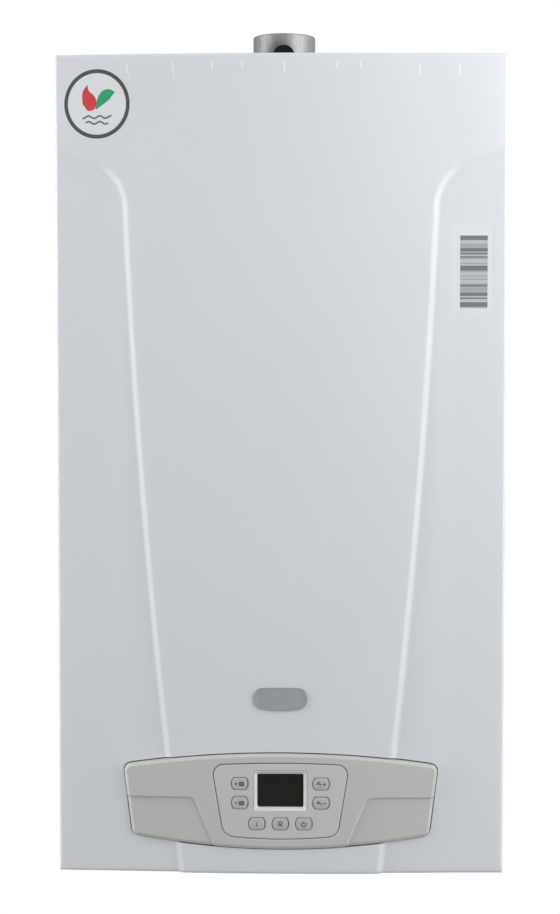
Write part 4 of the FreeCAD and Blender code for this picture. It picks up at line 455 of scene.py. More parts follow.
clear("clear_glass")
display("display_dark", (18, 21, 16), (26, 30, 23))
circuit("board_green", (18, 74, 42), (22, 84, 48), (72, 128, 74))
slots = {part["node"]: part["material_slot"] for part in frame["record"]["subparts"]}
print("slots with no finish yet:", sorted(set(slots.values()) - set(finishes)))

# %% [markdown]
# ## Dress the solids
# The record says which material slot each solid uses, so one pass gives all of them their finish,
# and the two sides a greyer copy of the front's enamel, as painted shade. Their shapes are left
# alone.

# %% Give each solid its finish
for name, slot in slots.items():
    # The two sides take the greyer copy of the enamel: painted shade.
    coat = "painted_shade_side_enamel" if name.startswith("side_panel") else slot
    nodes[name].data.materials.clear()
    nodes[name].data.materials.append(finishes[coat].material)
print(len(slots), "solids dressed with", len(set(slots.values())), "finishes")

# %% [markdown]
# ## White all round
# A world that is white to the camera and dim to the casing needs the Light Path node: its flags
# say what kind of ray asks. The floor uses the same flags, but keeps a share of plain matt paint,
# so that the shadow under the boiler is still on it. It lies low, because a boiler hangs on its
# wall, and a camera that looks up at the pipe connections has to stay above it.

# %% World
AMBIENT = 0.31
WHITE = (1, 1, 1, 1)


def seen_directly(web):
    """1 for rays from the camera, a mirror or through glass, and 0 for light on the object."""
    kinds = ("Is Camera Ray", "Is Glossy Ray", "Is Transmission Ray")
    eye, mirror, glass = (web.node("ShaderNodeLightPath", output=kind) for kind in kinds)
    return web.larger(web.larger(eye, mirror), glass)


def white_world():
    """Ambient light for the object, and plain white for whoever looks at the background."""
    world = bpy.data.worlds.new("studio")
    world.use_nodes = True
    sky = Web(world.node_tree)
    ambient = sky.tree.nodes["Background"]
    ambient.inputs["Color"].default_value = WHITE
    ambient.inputs["Strength"].default_value = AMBIENT
    white = sky.node("ShaderNodeBackground", values={"Color": WHITE, "Strength": 1.0})
    values = {0: seen_directly(sky), 1: Wire(sky, ambient.outputs[0]), 2: white}
    sky.end("World Output", sky.node("ShaderNodeMixShader", values=values))
    bpy.context.scene.world = world


white_world()
print("ambient light at", AMBIENT, "of white")

# %% Floor
FLOOR_UNDER = 2.8
FLOOR_HALF = 3.0
FLOOR_GLOW = 1.4
SHADOW_SHARE = 0.4
SHADOW_NEAR, SHADOW_FAR = 0.8, 2.4
PAINT = {"Base Color": (0.86, 0.86, 0.86, 1), "Roughness": 0.9}


def white_floor():
    """A level sheet under the boiler: to the camera it is white paint that glows enough to burn
    out, save for a share of matt paint near the boiler, which keeps the shadow and fades
    outwards."""
    corners = np.array([(-1, -1, 0), (1, -1, 0), (1, 1, 0), (-1, 1, 0)]) * FLOOR_HALF
    corners[:, 2] = cad_low.z - FLOOR_UNDER
    mesh = bpy.data.meshes.new("floor")
    mesh.from_pydata(corners.tolist(), [], [(0, 1, 2, 3)])
    floor = bpy.data.objects.new("floor", mesh)
    bpy.context.scene.collection.objects.link(floor)
    paint = Finish("floor_paint", PAINT)
    glow = paint.node("ShaderNodeEmission", values={"Strength": FLOOR_GLOW})
    far = paint.ease(paint.distance((1.0, 1.0, 0.0)), SHADOW_NEAR, SHADOW_FAR)
    share = seen_directly(paint) * (1 - SHADOW_SHARE * (1 - far))
    values = {0: share, 1: Wire(paint, paint.shader.outputs[0]), 2: glow}
    paint.end("Material Output", paint.node("ShaderNodeMixShader", values=values))
    mesh.materials.append(paint.material)
    floor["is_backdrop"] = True


white_floor()
print("floor", FLOOR_UNDER, "m under the casing")

# %% [markdown]
# ## Lamps
# Both walls of the pressed rib are brighter than the flat front in the picture, so light has to
# come from both sides, and the upper right corner is brightest, so the nearest lamp is there.
# Large soft boxes are used, as in a real product studio: their size is what makes the shading
# gentle. The strips stand almost level with the front, so they graze it and pick out the rib.

# %% Soft boxes
def soft_box(name, place, aim, size, power):
    """A rectangular lamp of a given size at a place, turned so that it looks at a point."""
    data = bpy.data.lights.new(name, "AREA")
    data.shape = "RECTANGLE"
    data.size, data.size_y = size
    data.energy = power
    lamp = bpy.data.objects.new(name, data)
    lamp.location = place
    look = Vector(aim) - Vector(place)
    lamp.rotation_euler = look.to_track_quat("-Z", "Y").to_euler()
    bpy.context.scene.collection.objects.link(lamp)


MIDDLE = (0.0, -0.2, -0.3)
soft_box("left_box", (-1.7, -1.0, -0.1), MIDDLE, (0.9, 1.8), 9.6)
soft_box("right_box", (1.6, -1.0, -0.1), MIDDLE, (0.9, 1.8), 11.4)
soft_box("left_strip", (-1.5, -0.45, -0.3), MIDDLE, (0.6, 1.6), 7.3)
soft_box("right_strip", (1.5, -0.45, -0.3), MIDDLE, (0.6, 1.6), 6.2)
soft_box("upper_left_strip", (-1.3, -0.42, 0.15), (0.0, -0.25, -0.1), (0.5, 0.9), 7.0)
soft_box("upper_right_box", (0.6, -0.75, 0.2), (0.16, -0.29, -0.05), (0.35, 0.35), 2.47)
soft_box("lower_right_box", (0.9, -2.0, -0.9), MIDDLE, (1.0, 0.8), 4.07)
soft_box("top_box", (0.0, -0.42, 1.15), (0.0, -0.3, 0.0), (1.0, 0.5), 3.2)

# %% [markdown]
# ## From grids to meshes
# Every new surface in this lesson starts as arrays of x, z and the distance from the wall, laid
# out in rows and columns. One helper turns such a grid into four-sided faces. Another welds
# several grids into one piece, gives it its finish and, if it is a sheet, its wall, and lets it
# ride on its body.

# %% Grids
def quads(rows, columns, close_rows=False, close_columns=False):
    """Faces of a grid of points: each joins a point, the next in its row and the two in the row
    after."""
    row = np.arange(rows if close_rows else rows - 1)[:, None]
    column = np.arange(columns if close_columns else columns - 1)[None, :]
    next_row, next_column = (row + 1) % rows, (column + 1) % columns
    corners = (row * columns + column, row * columns + next_column,
               next_row * columns + next_column, next_row * columns + column)
    return np.stack(np.broadcast_arrays(*corners), axis=-1).reshape(-1, 4)


def spots(x, out, z):
    """Points from the place across, the distance from the wall and the height."""
    return np.stack(np.broadcast_arrays(x, -np.asarray(out), z), axis=-1)


print("a grid of 3 by 4 points has", len(quads(3, 4)), "faces")

# %% Pieces
WELD = 0.002 * MM
SHARP = math.radians(40)


def sharpen_border(mesh):
    """Edges with one face stay crisp when a sheet gets its thickness there."""
    edge = np.empty(len(mesh.loops), np.int32)
    mesh.loops.foreach_get("edge_index", edge)
    sharp = np.empty(len(mesh.edges), bool)
    mesh.edges.foreach_get("use_edge_sharp", sharp)
    sharp |= np.bincount(edge, minlength=len(sharp)) == 1
    mesh.edges.foreach_set("use_edge_sharp", sharp)


def make_piece(name, surfaces, body, slot, replaced=(), finish=None, wall=0.0):
    """One object from several grids of points and faces, with the seams between them welded. A
    sheet gets its wall on the inner side."""
    starts = np.cumsum([0] + [points.size // 3 for points, faces in surfaces])
    stacked = np.concatenate([points.reshape(-1, 3) for points, faces in surfaces])
    joined = np.concatenate([faces + start for (points, faces), start in zip(surfaces, starts)])
    mesh = bpy.data.meshes.new(name)
    mesh.from_pydata(stacked.tolist(), [], joined.tolist())
    welded = bmesh.new()
    welded.from_mesh(mesh)
    bmesh.ops.remove_doubles(welded, verts=welded.verts, dist=WELD)
    welded.to_mesh(mesh)
    welded.free()
    mesh.shade_smooth()
    mesh.set_sharp_from_angle(angle=SHARP)
    sharpen_border(mesh)
    mesh.materials.append((finish or finishes[slot]).material)
    piece = bpy.data.objects.new(name, mesh)
    bpy.context.scene.collection.objects.link(piece)
    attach(piece, body)
    if replaced:
        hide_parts(*replaced)
    if wall:
        solid = piece.modifiers.new("wall", "SOLIDIFY")
        solid.thickness = wall
        solid.offset = -1.0
    print(name, len(mesh.polygons), "faces")


print("edges of more than", round(math.degrees(SHARP)), "degrees stay sharp")

# %% [markdown]
# ## Outlines by distance
# The panel, its keypad, the buttons and the badge are all shapes between arcs, with rounded
# corners. Rather than draw each with arcs and tangent points, a function tells how far any point
# lies outside the shape, negative inside. The same function then gives everything: a loop of
# points along the edge or at any offset from it, found by halving along rays, and a clean cut
# through a grid, by dropping the faces on the wrong side and sliding the ones left onto the edge.

# %% Distances to outlines
FASCIA = {"crown": 109.9, "crown_radius": 890, "top_half": 141, "corner": 6,
          "foot": 23.8, "foot_radius": 780, "foot_half": 133.2, "foot_corner": 4.5}
KEYPAD = {"crown": 101.2, "crown_radius": 1000, "top_half": 61.5, "corner": 10.5,
          "foot": 33, "foot_radius": 500, "foot_half": 51, "foot_corner": 8}
PANEL_MIDDLE = (0.0, above_edge(67))


def rounded(past, corner):
    """Distance outside a shape: the largest of those past its sides, with the corners rounded
    where two of them meet."""
    past = np.stack(past) + corner
    return np.minimum(past.max(0), 0) + np.linalg.norm(np.maximum(past, 0), axis=0) - corner


def panel_edge(x, z, shape):
    """Distance outside a panel, from those past its crown arc, foot arc and leaning sides."""
    size = {name: value * MM for name, value in shape.items()}
    crown, foot = LOWER_EDGE + size["crown"], LOWER_EDGE + size["foot"]
    drop = size["crown_radius"] - math.sqrt(size["crown_radius"] ** 2 - size["top_half"] ** 2)
    rise = size["foot_radius"] - math.sqrt(size["foot_radius"] ** 2 - size["foot_half"] ** 2)
    lean = math.atan2(size["top_half"] - size["foot_half"], crown - drop - foot - rise)
    over = np.hypot(x, z - crown + size["crown_radius"]) - size["crown_radius"]
    under = np.hypot(x, z - foot - size["foot_radius"]) - size["foot_radius"]
    aside = (np.abs(x) - size["foot_half"]) * math.cos(lean) - (z - foot - rise) * math.sin(lean)
    corner = np.where(z > (crown + foot) / 2, size["corner"], size["foot_corner"])
    return rounded([over, under, aside], corner)


def barrel_edge(x, z, half_high, radius):
    """Distance outside a barrel: two flat ends, and two sides on one circle."""
    return np.maximum(np.abs(z) - half_high, np.hypot(x, z) - radius)


def window_edge(x, z, half_wide, half_high, corner):
    """Distance outside a rectangle with rounded corners."""
    return rounded([np.abs(x) - half_wide, np.abs(z) - half_high], corner)


middle_in = -panel_edge(*PANEL_MIDDLE, FASCIA) / MM
print("the panel's middle lies", round(middle_in, 1), "mm inside its edge")

# %% Loops
RAY_REACH = 0.4
HALVINGS = 44


def spokes(count):
    """So many angles, evenly spread over a full turn."""
    return np.linspace(0, 2 * math.pi, count, endpoint=False)


def edge_loop(edge, centre, stretch, count, level=0.0):
    """Closed outline where the edge distance equals the level: rays go out from the centre, leaning
    to the sides as the shape is stretched, and on each the crossing is closed in on by halving."""
    turn = spokes(count)
    ray = np.stack([stretch * np.cos(turn), np.sin(turn)])
    ray /= np.linalg.norm(ray, axis=0)
    near, far = np.zeros(count), np.full(count, RAY_REACH)
    for _ in range(HALVINGS):
        middle = (near + far) / 2
        inside = edge(centre[0] + ray[0] * middle, centre[1] + ray[1] * middle) < level
        near, far = np.where(inside, middle, near), np.where(inside, far, middle)
    return centre[0] + ray[0] * near, centre[1] + ray[1] * near


def panel_loop(shape, level, count):
    """A loop about the panel's middle, at a distance from the outline of a panel."""
    return edge_loop(lambda x, z: panel_edge(x, z, shape), PANEL_MIDDLE, 3.0, count, level)


loop_x, loop_z = panel_loop(FASCIA, 0.0, 720)
print("panel outline", round(np.ptp(loop_x), 4), "wide and", round(np.ptp(loop_z), 4), "high")

# %% Cuts
SLIDES = 3
TINY = 0.01 * MM
LEAST_SLOPE = 0.2


def face_middles(values):
    """The mean of the four corners of each face of a grid."""
    return (values[1:, 1:] + values[1:, :-1] + values[:-1, 1:] + values[:-1, :-1]) / 4


def trim(x, z, edge):
    """Cuts a grid along an outline: faces whose middle lies outside go, and points between kept
    and dropped faces slide along the slope of the distance until they lie on the outline."""
    kept = (edge(face_middles(x), face_middles(z)) < 0).ravel()
    faces = quads(*x.shape)
    with_kept, with_lost = np.zeros(x.size, bool), np.zeros(x.size, bool)
    with_kept[faces[kept]] = True
    with_lost[faces[~kept]] = True
    border = with_kept & with_lost
    x, z = x.ravel().copy(), z.ravel().copy()
    for _ in range(SLIDES):
        bx, bz = x[border], z[border]
        slope_x = (edge(bx + TINY, bz) - edge(bx - TINY, bz)) / (2 * TINY)
        slope_z = (edge(bx, bz + TINY) - edge(bx, bz - TINY)) / (2 * TINY)
        step = edge(bx, bz) / np.maximum(slope_x ** 2 + slope_z ** 2, LEAST_SLOPE)
        x[border], z[border] = bx - step * slope_x, bz - step * slope_z
    return x, z, faces[kept]


def used_only(points, faces):
    """Drops the points that no face uses, and numbers the faces again."""
    used, numbers = np.unique(faces, return_inverse=True)
    return points[used], numbers.reshape(faces.shape)


square = np.meshgrid(np.linspace(-1, 1, 9), np.linspace(-1, 1, 9))
disc_faces = trim(*square, lambda x, z: np.hypot(x, z) - 0.9)[2]
print("a disc cut from a grid of 64 faces keeps", len(disc_faces))

# %% [markdown]
# ## The pressed front cover
# The cover is one sheet of steel, drawn in a press: bowed from side to side, with a shield that
# stays proud while the metal on both sides of it drops to a sloping floor. The shield's edge rises
# from the lower edge in one long arc, turns outwards through a short arc and runs out to the side,
# where the step fades away. As a surface it is a height over the front: the bow, the floor, and a
# rounded ramp between them that depends on the distance from the shield's edge. The grid's columns
# follow that edge, so the ramp stays crisp, and the sheet is rolled over its rim and folded back
# along the sides.

# %% The line of the rib
LONG_RADIUS = 7230 * MM
TURN_RADIUS = 42 * MM
RIB_FOOT = np.array([88 * MM, above_edge(-5)])
RIB_SHOULDER = np.array([137.5 * MM, above_edge(597)])
RIB_TURNED = np.array([164.8 * MM, above_edge(634.6)])
RIB_TIP = np.array([205 * MM, above_edge(649.6)])
RIB_END = RIB_TIP - RIB_TURNED


def arc_centre(start, end, radius):
    """Centre of an arc from start to end: from the middle of the chord, along the chord's left
    normal, or its right one where the radius is negative."""
    chord = end - start
    length = np.hypot(*chord)
    left = np.array([-chord[1], chord[0]]) / length
    reach = math.copysign(math.sqrt(radius ** 2 - length ** 2 / 4), radius)
    return (start + end) / 2 + reach * left


LONG_CENTRE = arc_centre(RIB_FOOT, RIB_SHOULDER, LONG_RADIUS)
TURN_CENTRE = arc_centre(RIB_SHOULDER, RIB_TURNED, -TURN_RADIUS)


def rib_gap(x, z):
    """Distance from the shield's edge, positive on the recessed side. Which of the three stretches
    counts depends on the side of the two rays from the turn's centre to its ends."""
    x = np.abs(x)
    turn_x, turn_z = x - TURN_CENTRE[0], z - TURN_CENTRE[1]
    past_long = np.hypot(x - LONG_CENTRE[0], z - LONG_CENTRE[1]) - LONG_RADIUS
    past_turn = TURN_RADIUS - np.hypot(turn_x, turn_z)
    past_line = (x - RIB_TURNED[0]) * RIB_END[1] - (z - RIB_TURNED[1]) * RIB_END[0]
    past_line = past_line / np.hypot(*RIB_END)
    low, high = RIB_SHOULDER - TURN_CENTRE, RIB_TURNED - TURN_CENTRE
    below = low[0] * turn_z - low[1] * turn_x > 0
    beyond = high[0] * turn_z - high[1] * turn_x < 0
    return np.where(below, past_long, np.where(beyond, past_line, past_turn))


def rib_side(z):
    """How far from the middle the shield's edge lies at a height."""
    turn_high = np.maximum(TURN_RADIUS ** 2 - (z - TURN_CENTRE[1]) ** 2, 0)
    long_x = LONG_CENTRE[0] + np.sqrt(LONG_RADIUS ** 2 - (z - LONG_CENTRE[1]) ** 2)
    turn_x = TURN_CENTRE[0] - np.sqrt(turn_high)
    line_x = RIB_TURNED[0] + (z - RIB_TURNED[1]) * RIB_END[0] / RIB_END[1]
    return np.where(z < RIB_SHOULDER[1], long_x, np.where(z < RIB_TURNED[1], turn_x, line_x))


print("half way up, the rib is", round(float(rib_side(above_edge(365))), 4), "from the middle")

# %% The cover's shape
BOW = 8.5 * MM
BOW_RADIUS = (HALF_WIDTH ** 2 + BOW ** 2) / (2 * BOW)
EDGE_TURN = 0.5 * MM
EDGE_TURN_START = 172 * MM
FLOOR_TILT = math.radians(2.0)
RIB_RAMP = 7.4 * MM
SHOULDER_STEP = 1.5 * MM
SHOULDER_FADE = 45 * MM
SHOULDER_START, SHOULDER_RUN = 134 * MM, 26 * MM


def ramp(share, corner=0.3):
    """A straight rise from 0 to 1, with both its ends rounded over a share of the run."""
    u = np.clip(share, 0, 1)
    foot = u ** 2 / (2 * corner)
    head = 1 - corner - (1 - u) ** 2 / (2 * corner)
    rise = np.where(u < corner, foot, np.where(u > 1 - corner, head, u - corner / 2))
    return rise / (1 - corner)


def bowed(x):
    """Distance of the bow from the wall: an arc, turned back a little more near both edges."""
    arc = COVER_REACH - BOW_RADIUS + np.sqrt(BOW_RADIUS ** 2 - np.asarray(x) ** 2)
    beyond = np.maximum(np.abs(x) - EDGE_TURN_START, 0) / (HALF_WIDTH - EDGE_TURN_START)
    return arc - EDGE_TURN * beyond ** 2


def cover_out(x, z):
    """Distance of the pressed front from the wall: the bow, less the drop to the floor past the
    ramp. Under the shoulders the floor lies a step lower, which dies away downwards."""
    gap = rib_gap(x, z)
    dip = SHOULDER_STEP * ramp((np.abs(x) - SHOULDER_START) / SHOULDER_RUN)
    floor = COVER_REACH - BOW + (HALF_WIDTH - np.abs(x)) * math.tan(FLOOR_TILT)
    floor = floor - dip * np.exp(-np.maximum(gap, 0) / SHOULDER_FADE)
    drop = np.maximum(bowed(x) - floor, 0)
    return bowed(x) - drop * ramp(gap / RIB_RAMP + 0.5)


depth = bowed(0.12) - cover_out(0.12, above_edge(300))
print("the floor lies", round(depth / MM, 2), "mm under the bow beside the shield")

# %% The cover's grid
EDGE_ROLL = 3 * MM
EDGE_MARGIN = 4 * MM
RAMP_COLUMNS = 1.1 * RIB_RAMP
SHOULDER_LOW, SHOULDER_HIGH = above_edge(586), above_edge(652)
ROW_COUNTS = (190, 50, 26)
COLUMN_COUNTS = (28, 9, 32)


def cover_grid():
    """Columns in three groups on each side, to the ramp, across it and on to the edge, and rows
    that are closer where the shield's edge turns."""
    ends = (LOWER_EDGE + EDGE_ROLL, SHOULDER_LOW, SHOULDER_HIGH, UPPER_EDGE - EDGE_ROLL)
    low, turn, high = map(np.linspace, ends[:-1], ends[1:], ROW_COUNTS)
    z = np.concatenate([low, turn[1:], high[1:]])[:, None]
    edge = HALF_WIDTH - EDGE_ROLL
    side = np.minimum(rib_side(z) + RAMP_COLUMNS / 2, edge - EDGE_MARGIN)
    foot = side - RAMP_COLUMNS
    inner, across, outer = (np.linspace(0, 1, count) for count in COLUMN_COUNTS)
    right = np.concatenate([foot * inner, foot + (side - foot) * across[1:],
                            side + (edge - side) * outer[1:]], axis=1)
    x = np.concatenate([-right[:, :0:-1], right], axis=1)
    return x, np.broadcast_to(z, x.shape)


grid_x, grid_z = cover_grid()
print("the cover's grid has", grid_x.shape[0], "rows and", grid_x.shape[1], "columns")

# %% The cover's sheet
COVER_SHEET = 1.0 * MM
FASCIA_GAP = 1.0 * MM
ROLL_STEPS = 6


def cover_rim(x, z):
    """Round the grid's border a quarter roll leads back and out, and then the sheet folds to the
    rear."""
    rows, columns = x.shape
    number = np.arange(rows * columns).reshape(rows, columns)
    border = np.concatenate([number[0, :-1], number[:-1, -1], number[-1, :0:-1], number[:0:-1, 0]])
    row, column = np.divmod(border, columns)
    aside = (column == columns - 1).astype(float) - (column == 0)
    upward = (row == rows - 1).astype(float) - (row == 0)
    turn = np.append(np.linspace(0, math.pi / 2, ROLL_STEPS), [math.pi / 2] * 2)[:, None]
    x, z = x.ravel()[border], z.ravel()[border]
    out = cover_out(x, z) - EDGE_ROLL * (1 - np.cos(turn))
    out[-2] = (out[-3] + COVER_BACK) / 2
    out[-1] = COVER_BACK
    roll = EDGE_ROLL * np.sin(turn)
    points = spots(x + aside * roll, out, z + upward * roll)
    return points, quads(*out.shape, close_columns=True)[:, ::-1]


cut_x, cut_z, cut_faces = trim(grid_x, grid_z,
                               lambda x, z: FASCIA_GAP - panel_edge(x, z, FASCIA))
front = used_only(spots(cut_x, cover_out(cut_x, cut_z), cut_z), cut_faces)
make_piece("cover_sheet", [front, cover_rim(grid_x, grid_z)], "front_cover", "white_enamel",
           ["front_cover"], wall=COVER_SHEET)

# %% [markdown]
# ## The control panel
# The panel is a moulded shell that fills the opening in the cover and stands a little proud of it.
# Its rim is rounded, two wings on its sides lie a step lower, and an opening in the middle holds
# the keypad. It could be cut from a block with booleans; here it is one profile carried round the
# panel. Every row of the grid is a loop: up the outer wall, over the rim, across the face to the
# keypad, down into that opening, and back behind the face, so the shell is closed.

# %% The panel's face
panel_low, panel_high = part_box("control_fascia")
PANEL_PROUD = -panel_low.y - COVER_REACH
WING_TOP = above_edge(70.8)
WING_HALF = 76.6 * MM
WING_SLANT = np.array([20.5, 48.8]) / math.hypot(20.5, 48.8)
WING_DROP = 1.8 * MM
WING_RAMP = 1.7 * MM
WING_CORNER = 6 * MM


def wing_gap(x, z):
    """Distance into a wing: the lesser of those under its level line and outside its slanted line,
    with the corner between the two rounded."""
    under = WING_TOP - z
    outside = (np.abs(x) - WING_HALF) * WING_SLANT[1] - (z - WING_TOP) * WING_SLANT[0]
    short = np.maximum(WING_CORNER - np.stack([under, outside]), 0)
    bent = WING_CORNER - np.linalg.norm(short, axis=0)
    return np.where(short.max(0) > 0, bent, np.minimum(under, outside))


def panel_out(x, z):
    """Distance of the panel's face from the wall: the cover's bow, proud, with a step down to the
    wings."""
    return bowed(x) + PANEL_PROUD - WING_DROP * ramp(wing_gap(x, z) / WING_RAMP)


print("the panel stands", round(PANEL_PROUD / MM, 2), "mm proud of the cover's bow")

# %% The panel's shell
PANEL_BACK = -panel_high.y
PANEL_RIM = 2.9 * MM
RIM_DROP = 1.7 * MM
RIM_CORNER = 0.2
PANEL_WALL = 2.5 * MM
PANEL_FACE = 4 * MM
KEYPAD_GAP = 0.5 * MM
KEYPAD_ROLL = 0.9 * MM
RIM_STEPS, FACE_STEPS, LIP_STEPS, INNER_STEPS = 10, 96, 7, 6


def loft(rows, close_rows=True):
    """A surface through closed loops, each with its places across, heights and distances from the
    wall."""
    x, z, out = np.array(rows).transpose(1, 0, 2)
    return spots(x, out, z), quads(*x.shape, close_rows, True)


def blend(start, end, share):
    """Each point of a loop, moved a share of the way to its partner on another loop."""
    return (a + (b - a) * share for a, b in zip(start, end))


def panel_rows(count=520):
    """Loops of the panel's closed profile: places across, heights, distances from the wall."""
    foot, brow = panel_loop(FASCIA, 0, count), panel_loop(FASCIA, -PANEL_RIM, count)
    inner = panel_loop(FASCIA, -PANEL_WALL, count)
    lip, mouth = (panel_loop(KEYPAD, KEYPAD_GAP + roll, count) for roll in (KEYPAD_ROLL, 0.0))
    back = np.full(count, PANEL_BACK)
    rows = [(*foot, back)]
    for share in np.linspace(0, 1, RIM_STEPS):
        x, z = panel_loop(FASCIA, -PANEL_RIM * share, count)
        rows.append((x, z, panel_out(x, z) - RIM_DROP * (1 - ramp(share, RIM_CORNER))))
    for share in np.linspace(0, 1, FACE_STEPS)[1:-1]:
        x, z = blend(brow, lip, share)
        rows.append((x, z, panel_out(x, z)))
    for turn in np.linspace(math.pi / 2, 0, LIP_STEPS):
        x, z = panel_loop(KEYPAD, KEYPAD_GAP + KEYPAD_ROLL * (1 - math.cos(turn)), count)
        rows.append((x, z, panel_out(x, z) - KEYPAD_ROLL * (1 - math.sin(turn))))
    for share in np.linspace(0, 1, INNER_STEPS):
        x, z = blend(mouth, inner, share)
        rows.append((x, z, panel_out(x, z) - PANEL_FACE))
    return rows + [(*inner, back)]


make_piece("panel_shell", [loft(panel_rows())], "chassis", "panel_grey", ["control_fascia"])

# %% [markdown]
# ## Keypad, screen frame and buttons
# The keypad is a plate with a window and seven holes. A grid a little under a millimetre wide is
# cut along all those edges at once, and near any edge its height falls away on a quarter circle,
# which rounds the plate and each hole in one formula. The screen's frame is a short funnel, and
# each button a shallow dome with a rolled rim, cut flat above and below as in the picture.

# %% The keypad plate
SCREEN_MIDDLE = above_edge(76.3)
FRAME_HALF = (23.6 * MM, 18.25 * MM)
WINDOW_CORNER = 2 * MM
BUTTON_HIGH = 5.2 * MM
BUTTON_RADIUS = 7.1 * MM
HOLE_HIGH = BUTTON_HIGH + 0.25 * MM
HOLE_RADIUS = BUTTON_RADIUS + 0.5 * MM
PLATE_ROLL = 0.8 * MM
PLATE_SUNK = 0.2 * MM
PLATE_WALL = 3 * MM
PLATE_STEP = 0.8
PLATE_COLUMNS = np.arange(-64, 64.1, PLATE_STEP) * MM
PLATE_ROWS = above_edge(np.arange(28, 106, PLATE_STEP))
BUTTON_PLACES = {}
for name in nodes:
    if name.startswith("button_"):
        middle = box_middle(name)
        BUTTON_PLACES[name] = (middle.x, middle.z)


def keypad_edge(x, z):
    """Distance outside the plate: past its outline, or into the window or a button's hole."""
    holes = [window_edge(x, z - SCREEN_MIDDLE, *FRAME_HALF, WINDOW_CORNER)]
    for across, high in BUTTON_PLACES.values():
        holes.append(barrel_edge(x - across, z - high, HOLE_HIGH, HOLE_RADIUS))
    return np.maximum(panel_edge(x, z, KEYPAD), -np.minimum.reduce(holes))


def keypad_out(x, z):
    """Distance of the plate from the wall: just under the panel's face, rolled at every edge."""
    inside = np.clip(-keypad_edge(x, z), 0, PLATE_ROLL)
    rolled = PLATE_ROLL - np.sqrt(PLATE_ROLL ** 2 - (PLATE_ROLL - inside) ** 2)
    return bowed(x) + PANEL_PROUD - PLATE_SUNK - rolled


plate_x, plate_z = np.meshgrid(PLATE_COLUMNS, PLATE_ROWS)
cut_x, cut_z, cut_faces = trim(plate_x, plate_z, keypad_edge)
plate = used_only(spots(cut_x, keypad_out(cut_x, cut_z), cut_z), cut_faces)
make_piece("keypad_sheet", [plate], "chassis", "keypad_grey", ["keypad_plate"], wall=PLATE_WALL)

# %% The screen's frame
SCREEN_HALF = (20.7 * MM, 15.1 * MM)
FRAME_CORNER = 1.6 * MM
FRAME_SUNK = 0.45 * MM


def frame_rows(count=160):
    """Loops of the funnel: its outer lip, a slope down to the glass, and back behind the slope."""
    glass = -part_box("display_window")[0].y
    lip = bowed(0.0) + PANEL_PROUD - FRAME_SUNK
    steps = [(FRAME_HALF, 0.0, glass), (FRAME_HALF, -0.05, lip - 0.3 * MM),
             (FRAME_HALF, -0.5, lip), (SCREEN_HALF, 0.4, lip - 2.6 * MM),
             (SCREEN_HALF, 0.0, lip - 2.9 * MM), (SCREEN_HALF, 0.0, glass)]
    rows = []
    for half, level, out in steps:
        x, z = edge_loop(lambda x, z: window_edge(x, z - SCREEN_MIDDLE, *half, FRAME_CORNER),
                         (0.0, SCREEN_MIDDLE), 1.3, count, level * MM)
        rows.append((x, z, np.full(count, out)))
    return rows


pale = grained("screen_frame_pale", (212, 213, 211), (220, 221, 219), 0.45, 1500, 0.012)
make_piece("screen_frame", [loft(frame_rows())], "chassis", "keypad_grey", finish=pale)

# %% Domed caps on the buttons
CAP_ROLL = 0.8 * MM
CAP_STEPS = 12
BUTTON_BACK = -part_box("button_info")[1].y
BUTTON_LIFT, BUTTON_SWELL = 0.1 * MM, 0.5 * MM
UPRIGHT_SHARE = 0.6


def domed_cap(edge, middle, stretch, out, back, roll, count=96):
    """A closed cap over an outline: up its wall from the back, over a rolled rim and in to the
    centre."""
    behind = np.full(count, back)
    rows = [(np.full(count, middle[0]), np.full(count, middle[1]), behind),
            (*edge_loop(edge, middle, stretch, count), behind)]
    for turn in np.linspace(0, math.pi / 2, ROLL_STEPS):
        x, z = edge_loop(edge, middle, stretch, count, -roll * (1 - math.cos(turn)))
        rows.append((x, z, out(x, z) - roll * (1 - math.sin(turn))))
    for share in np.linspace(1, 0, CAP_STEPS)[1:]:
        inner_x = middle[0] + (x - middle[0]) * share
        inner_z = middle[1] + (z - middle[1]) * share
        rows.append((inner_x, inner_z, out(inner_x, inner_z)))
    return loft(rows, close_rows=False)


def button_edge(x, z, middle):
    """Distance outside a button about its middle."""
    return barrel_edge(x - middle[0], z - middle[1], BUTTON_HIGH, BUTTON_RADIUS)


def button_out(x, z, middle):
    """Distance of a button's face from the wall: a shallow dome over the plate, which falls with
    the square of the way to the sides and, less, with that to the flat ends."""
    aside, upward = (x - middle[0]) / BUTTON_RADIUS, (z - middle[1]) / BUTTON_HIGH
    swell = 1 - aside ** 2 - UPRIGHT_SHARE * upward ** 2
    return bowed(middle[0]) + PANEL_PROUD + BUTTON_LIFT + BUTTON_SWELL * swell


for name, middle in BUTTON_PLACES.items():
    cap = domed_cap(lambda x, z: button_edge(x, z, middle), middle, 1.3,
                    lambda x, z: button_out(x, z, middle), BUTTON_BACK, CAP_ROLL)
    make_piece(name + "_cap", [cap], name, "button_grey", [name])

# %% The badge
BADGE = {"crown": 169.0, "crown_radius": 300, "top_half": 24, "corner": 7,
         "foot": 148.4, "foot_radius": 110, "foot_half": 24, "foot_corner": 7}
BADGE_MIDDLE = (0.0, box_middle("cover_badge").z)
BADGE_BACK = -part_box("cover_badge")[1].y
BADGE_ROLL = 0.5 * MM
BADGE_RIM = 2 * MM
BADGE_THICK, BADGE_DISH = 1.5 * MM, 0.35 * MM


def badge_out(x, z):
    """Distance of the badge's face from the wall: a thin plate on the bow, its middle dished."""
    inside = np.clip(-panel_edge(x, z, BADGE), 0, BADGE_RIM) / BADGE_RIM
    return bowed(x) + BADGE_THICK - BADGE_DISH * ramp(inside, 0.4)


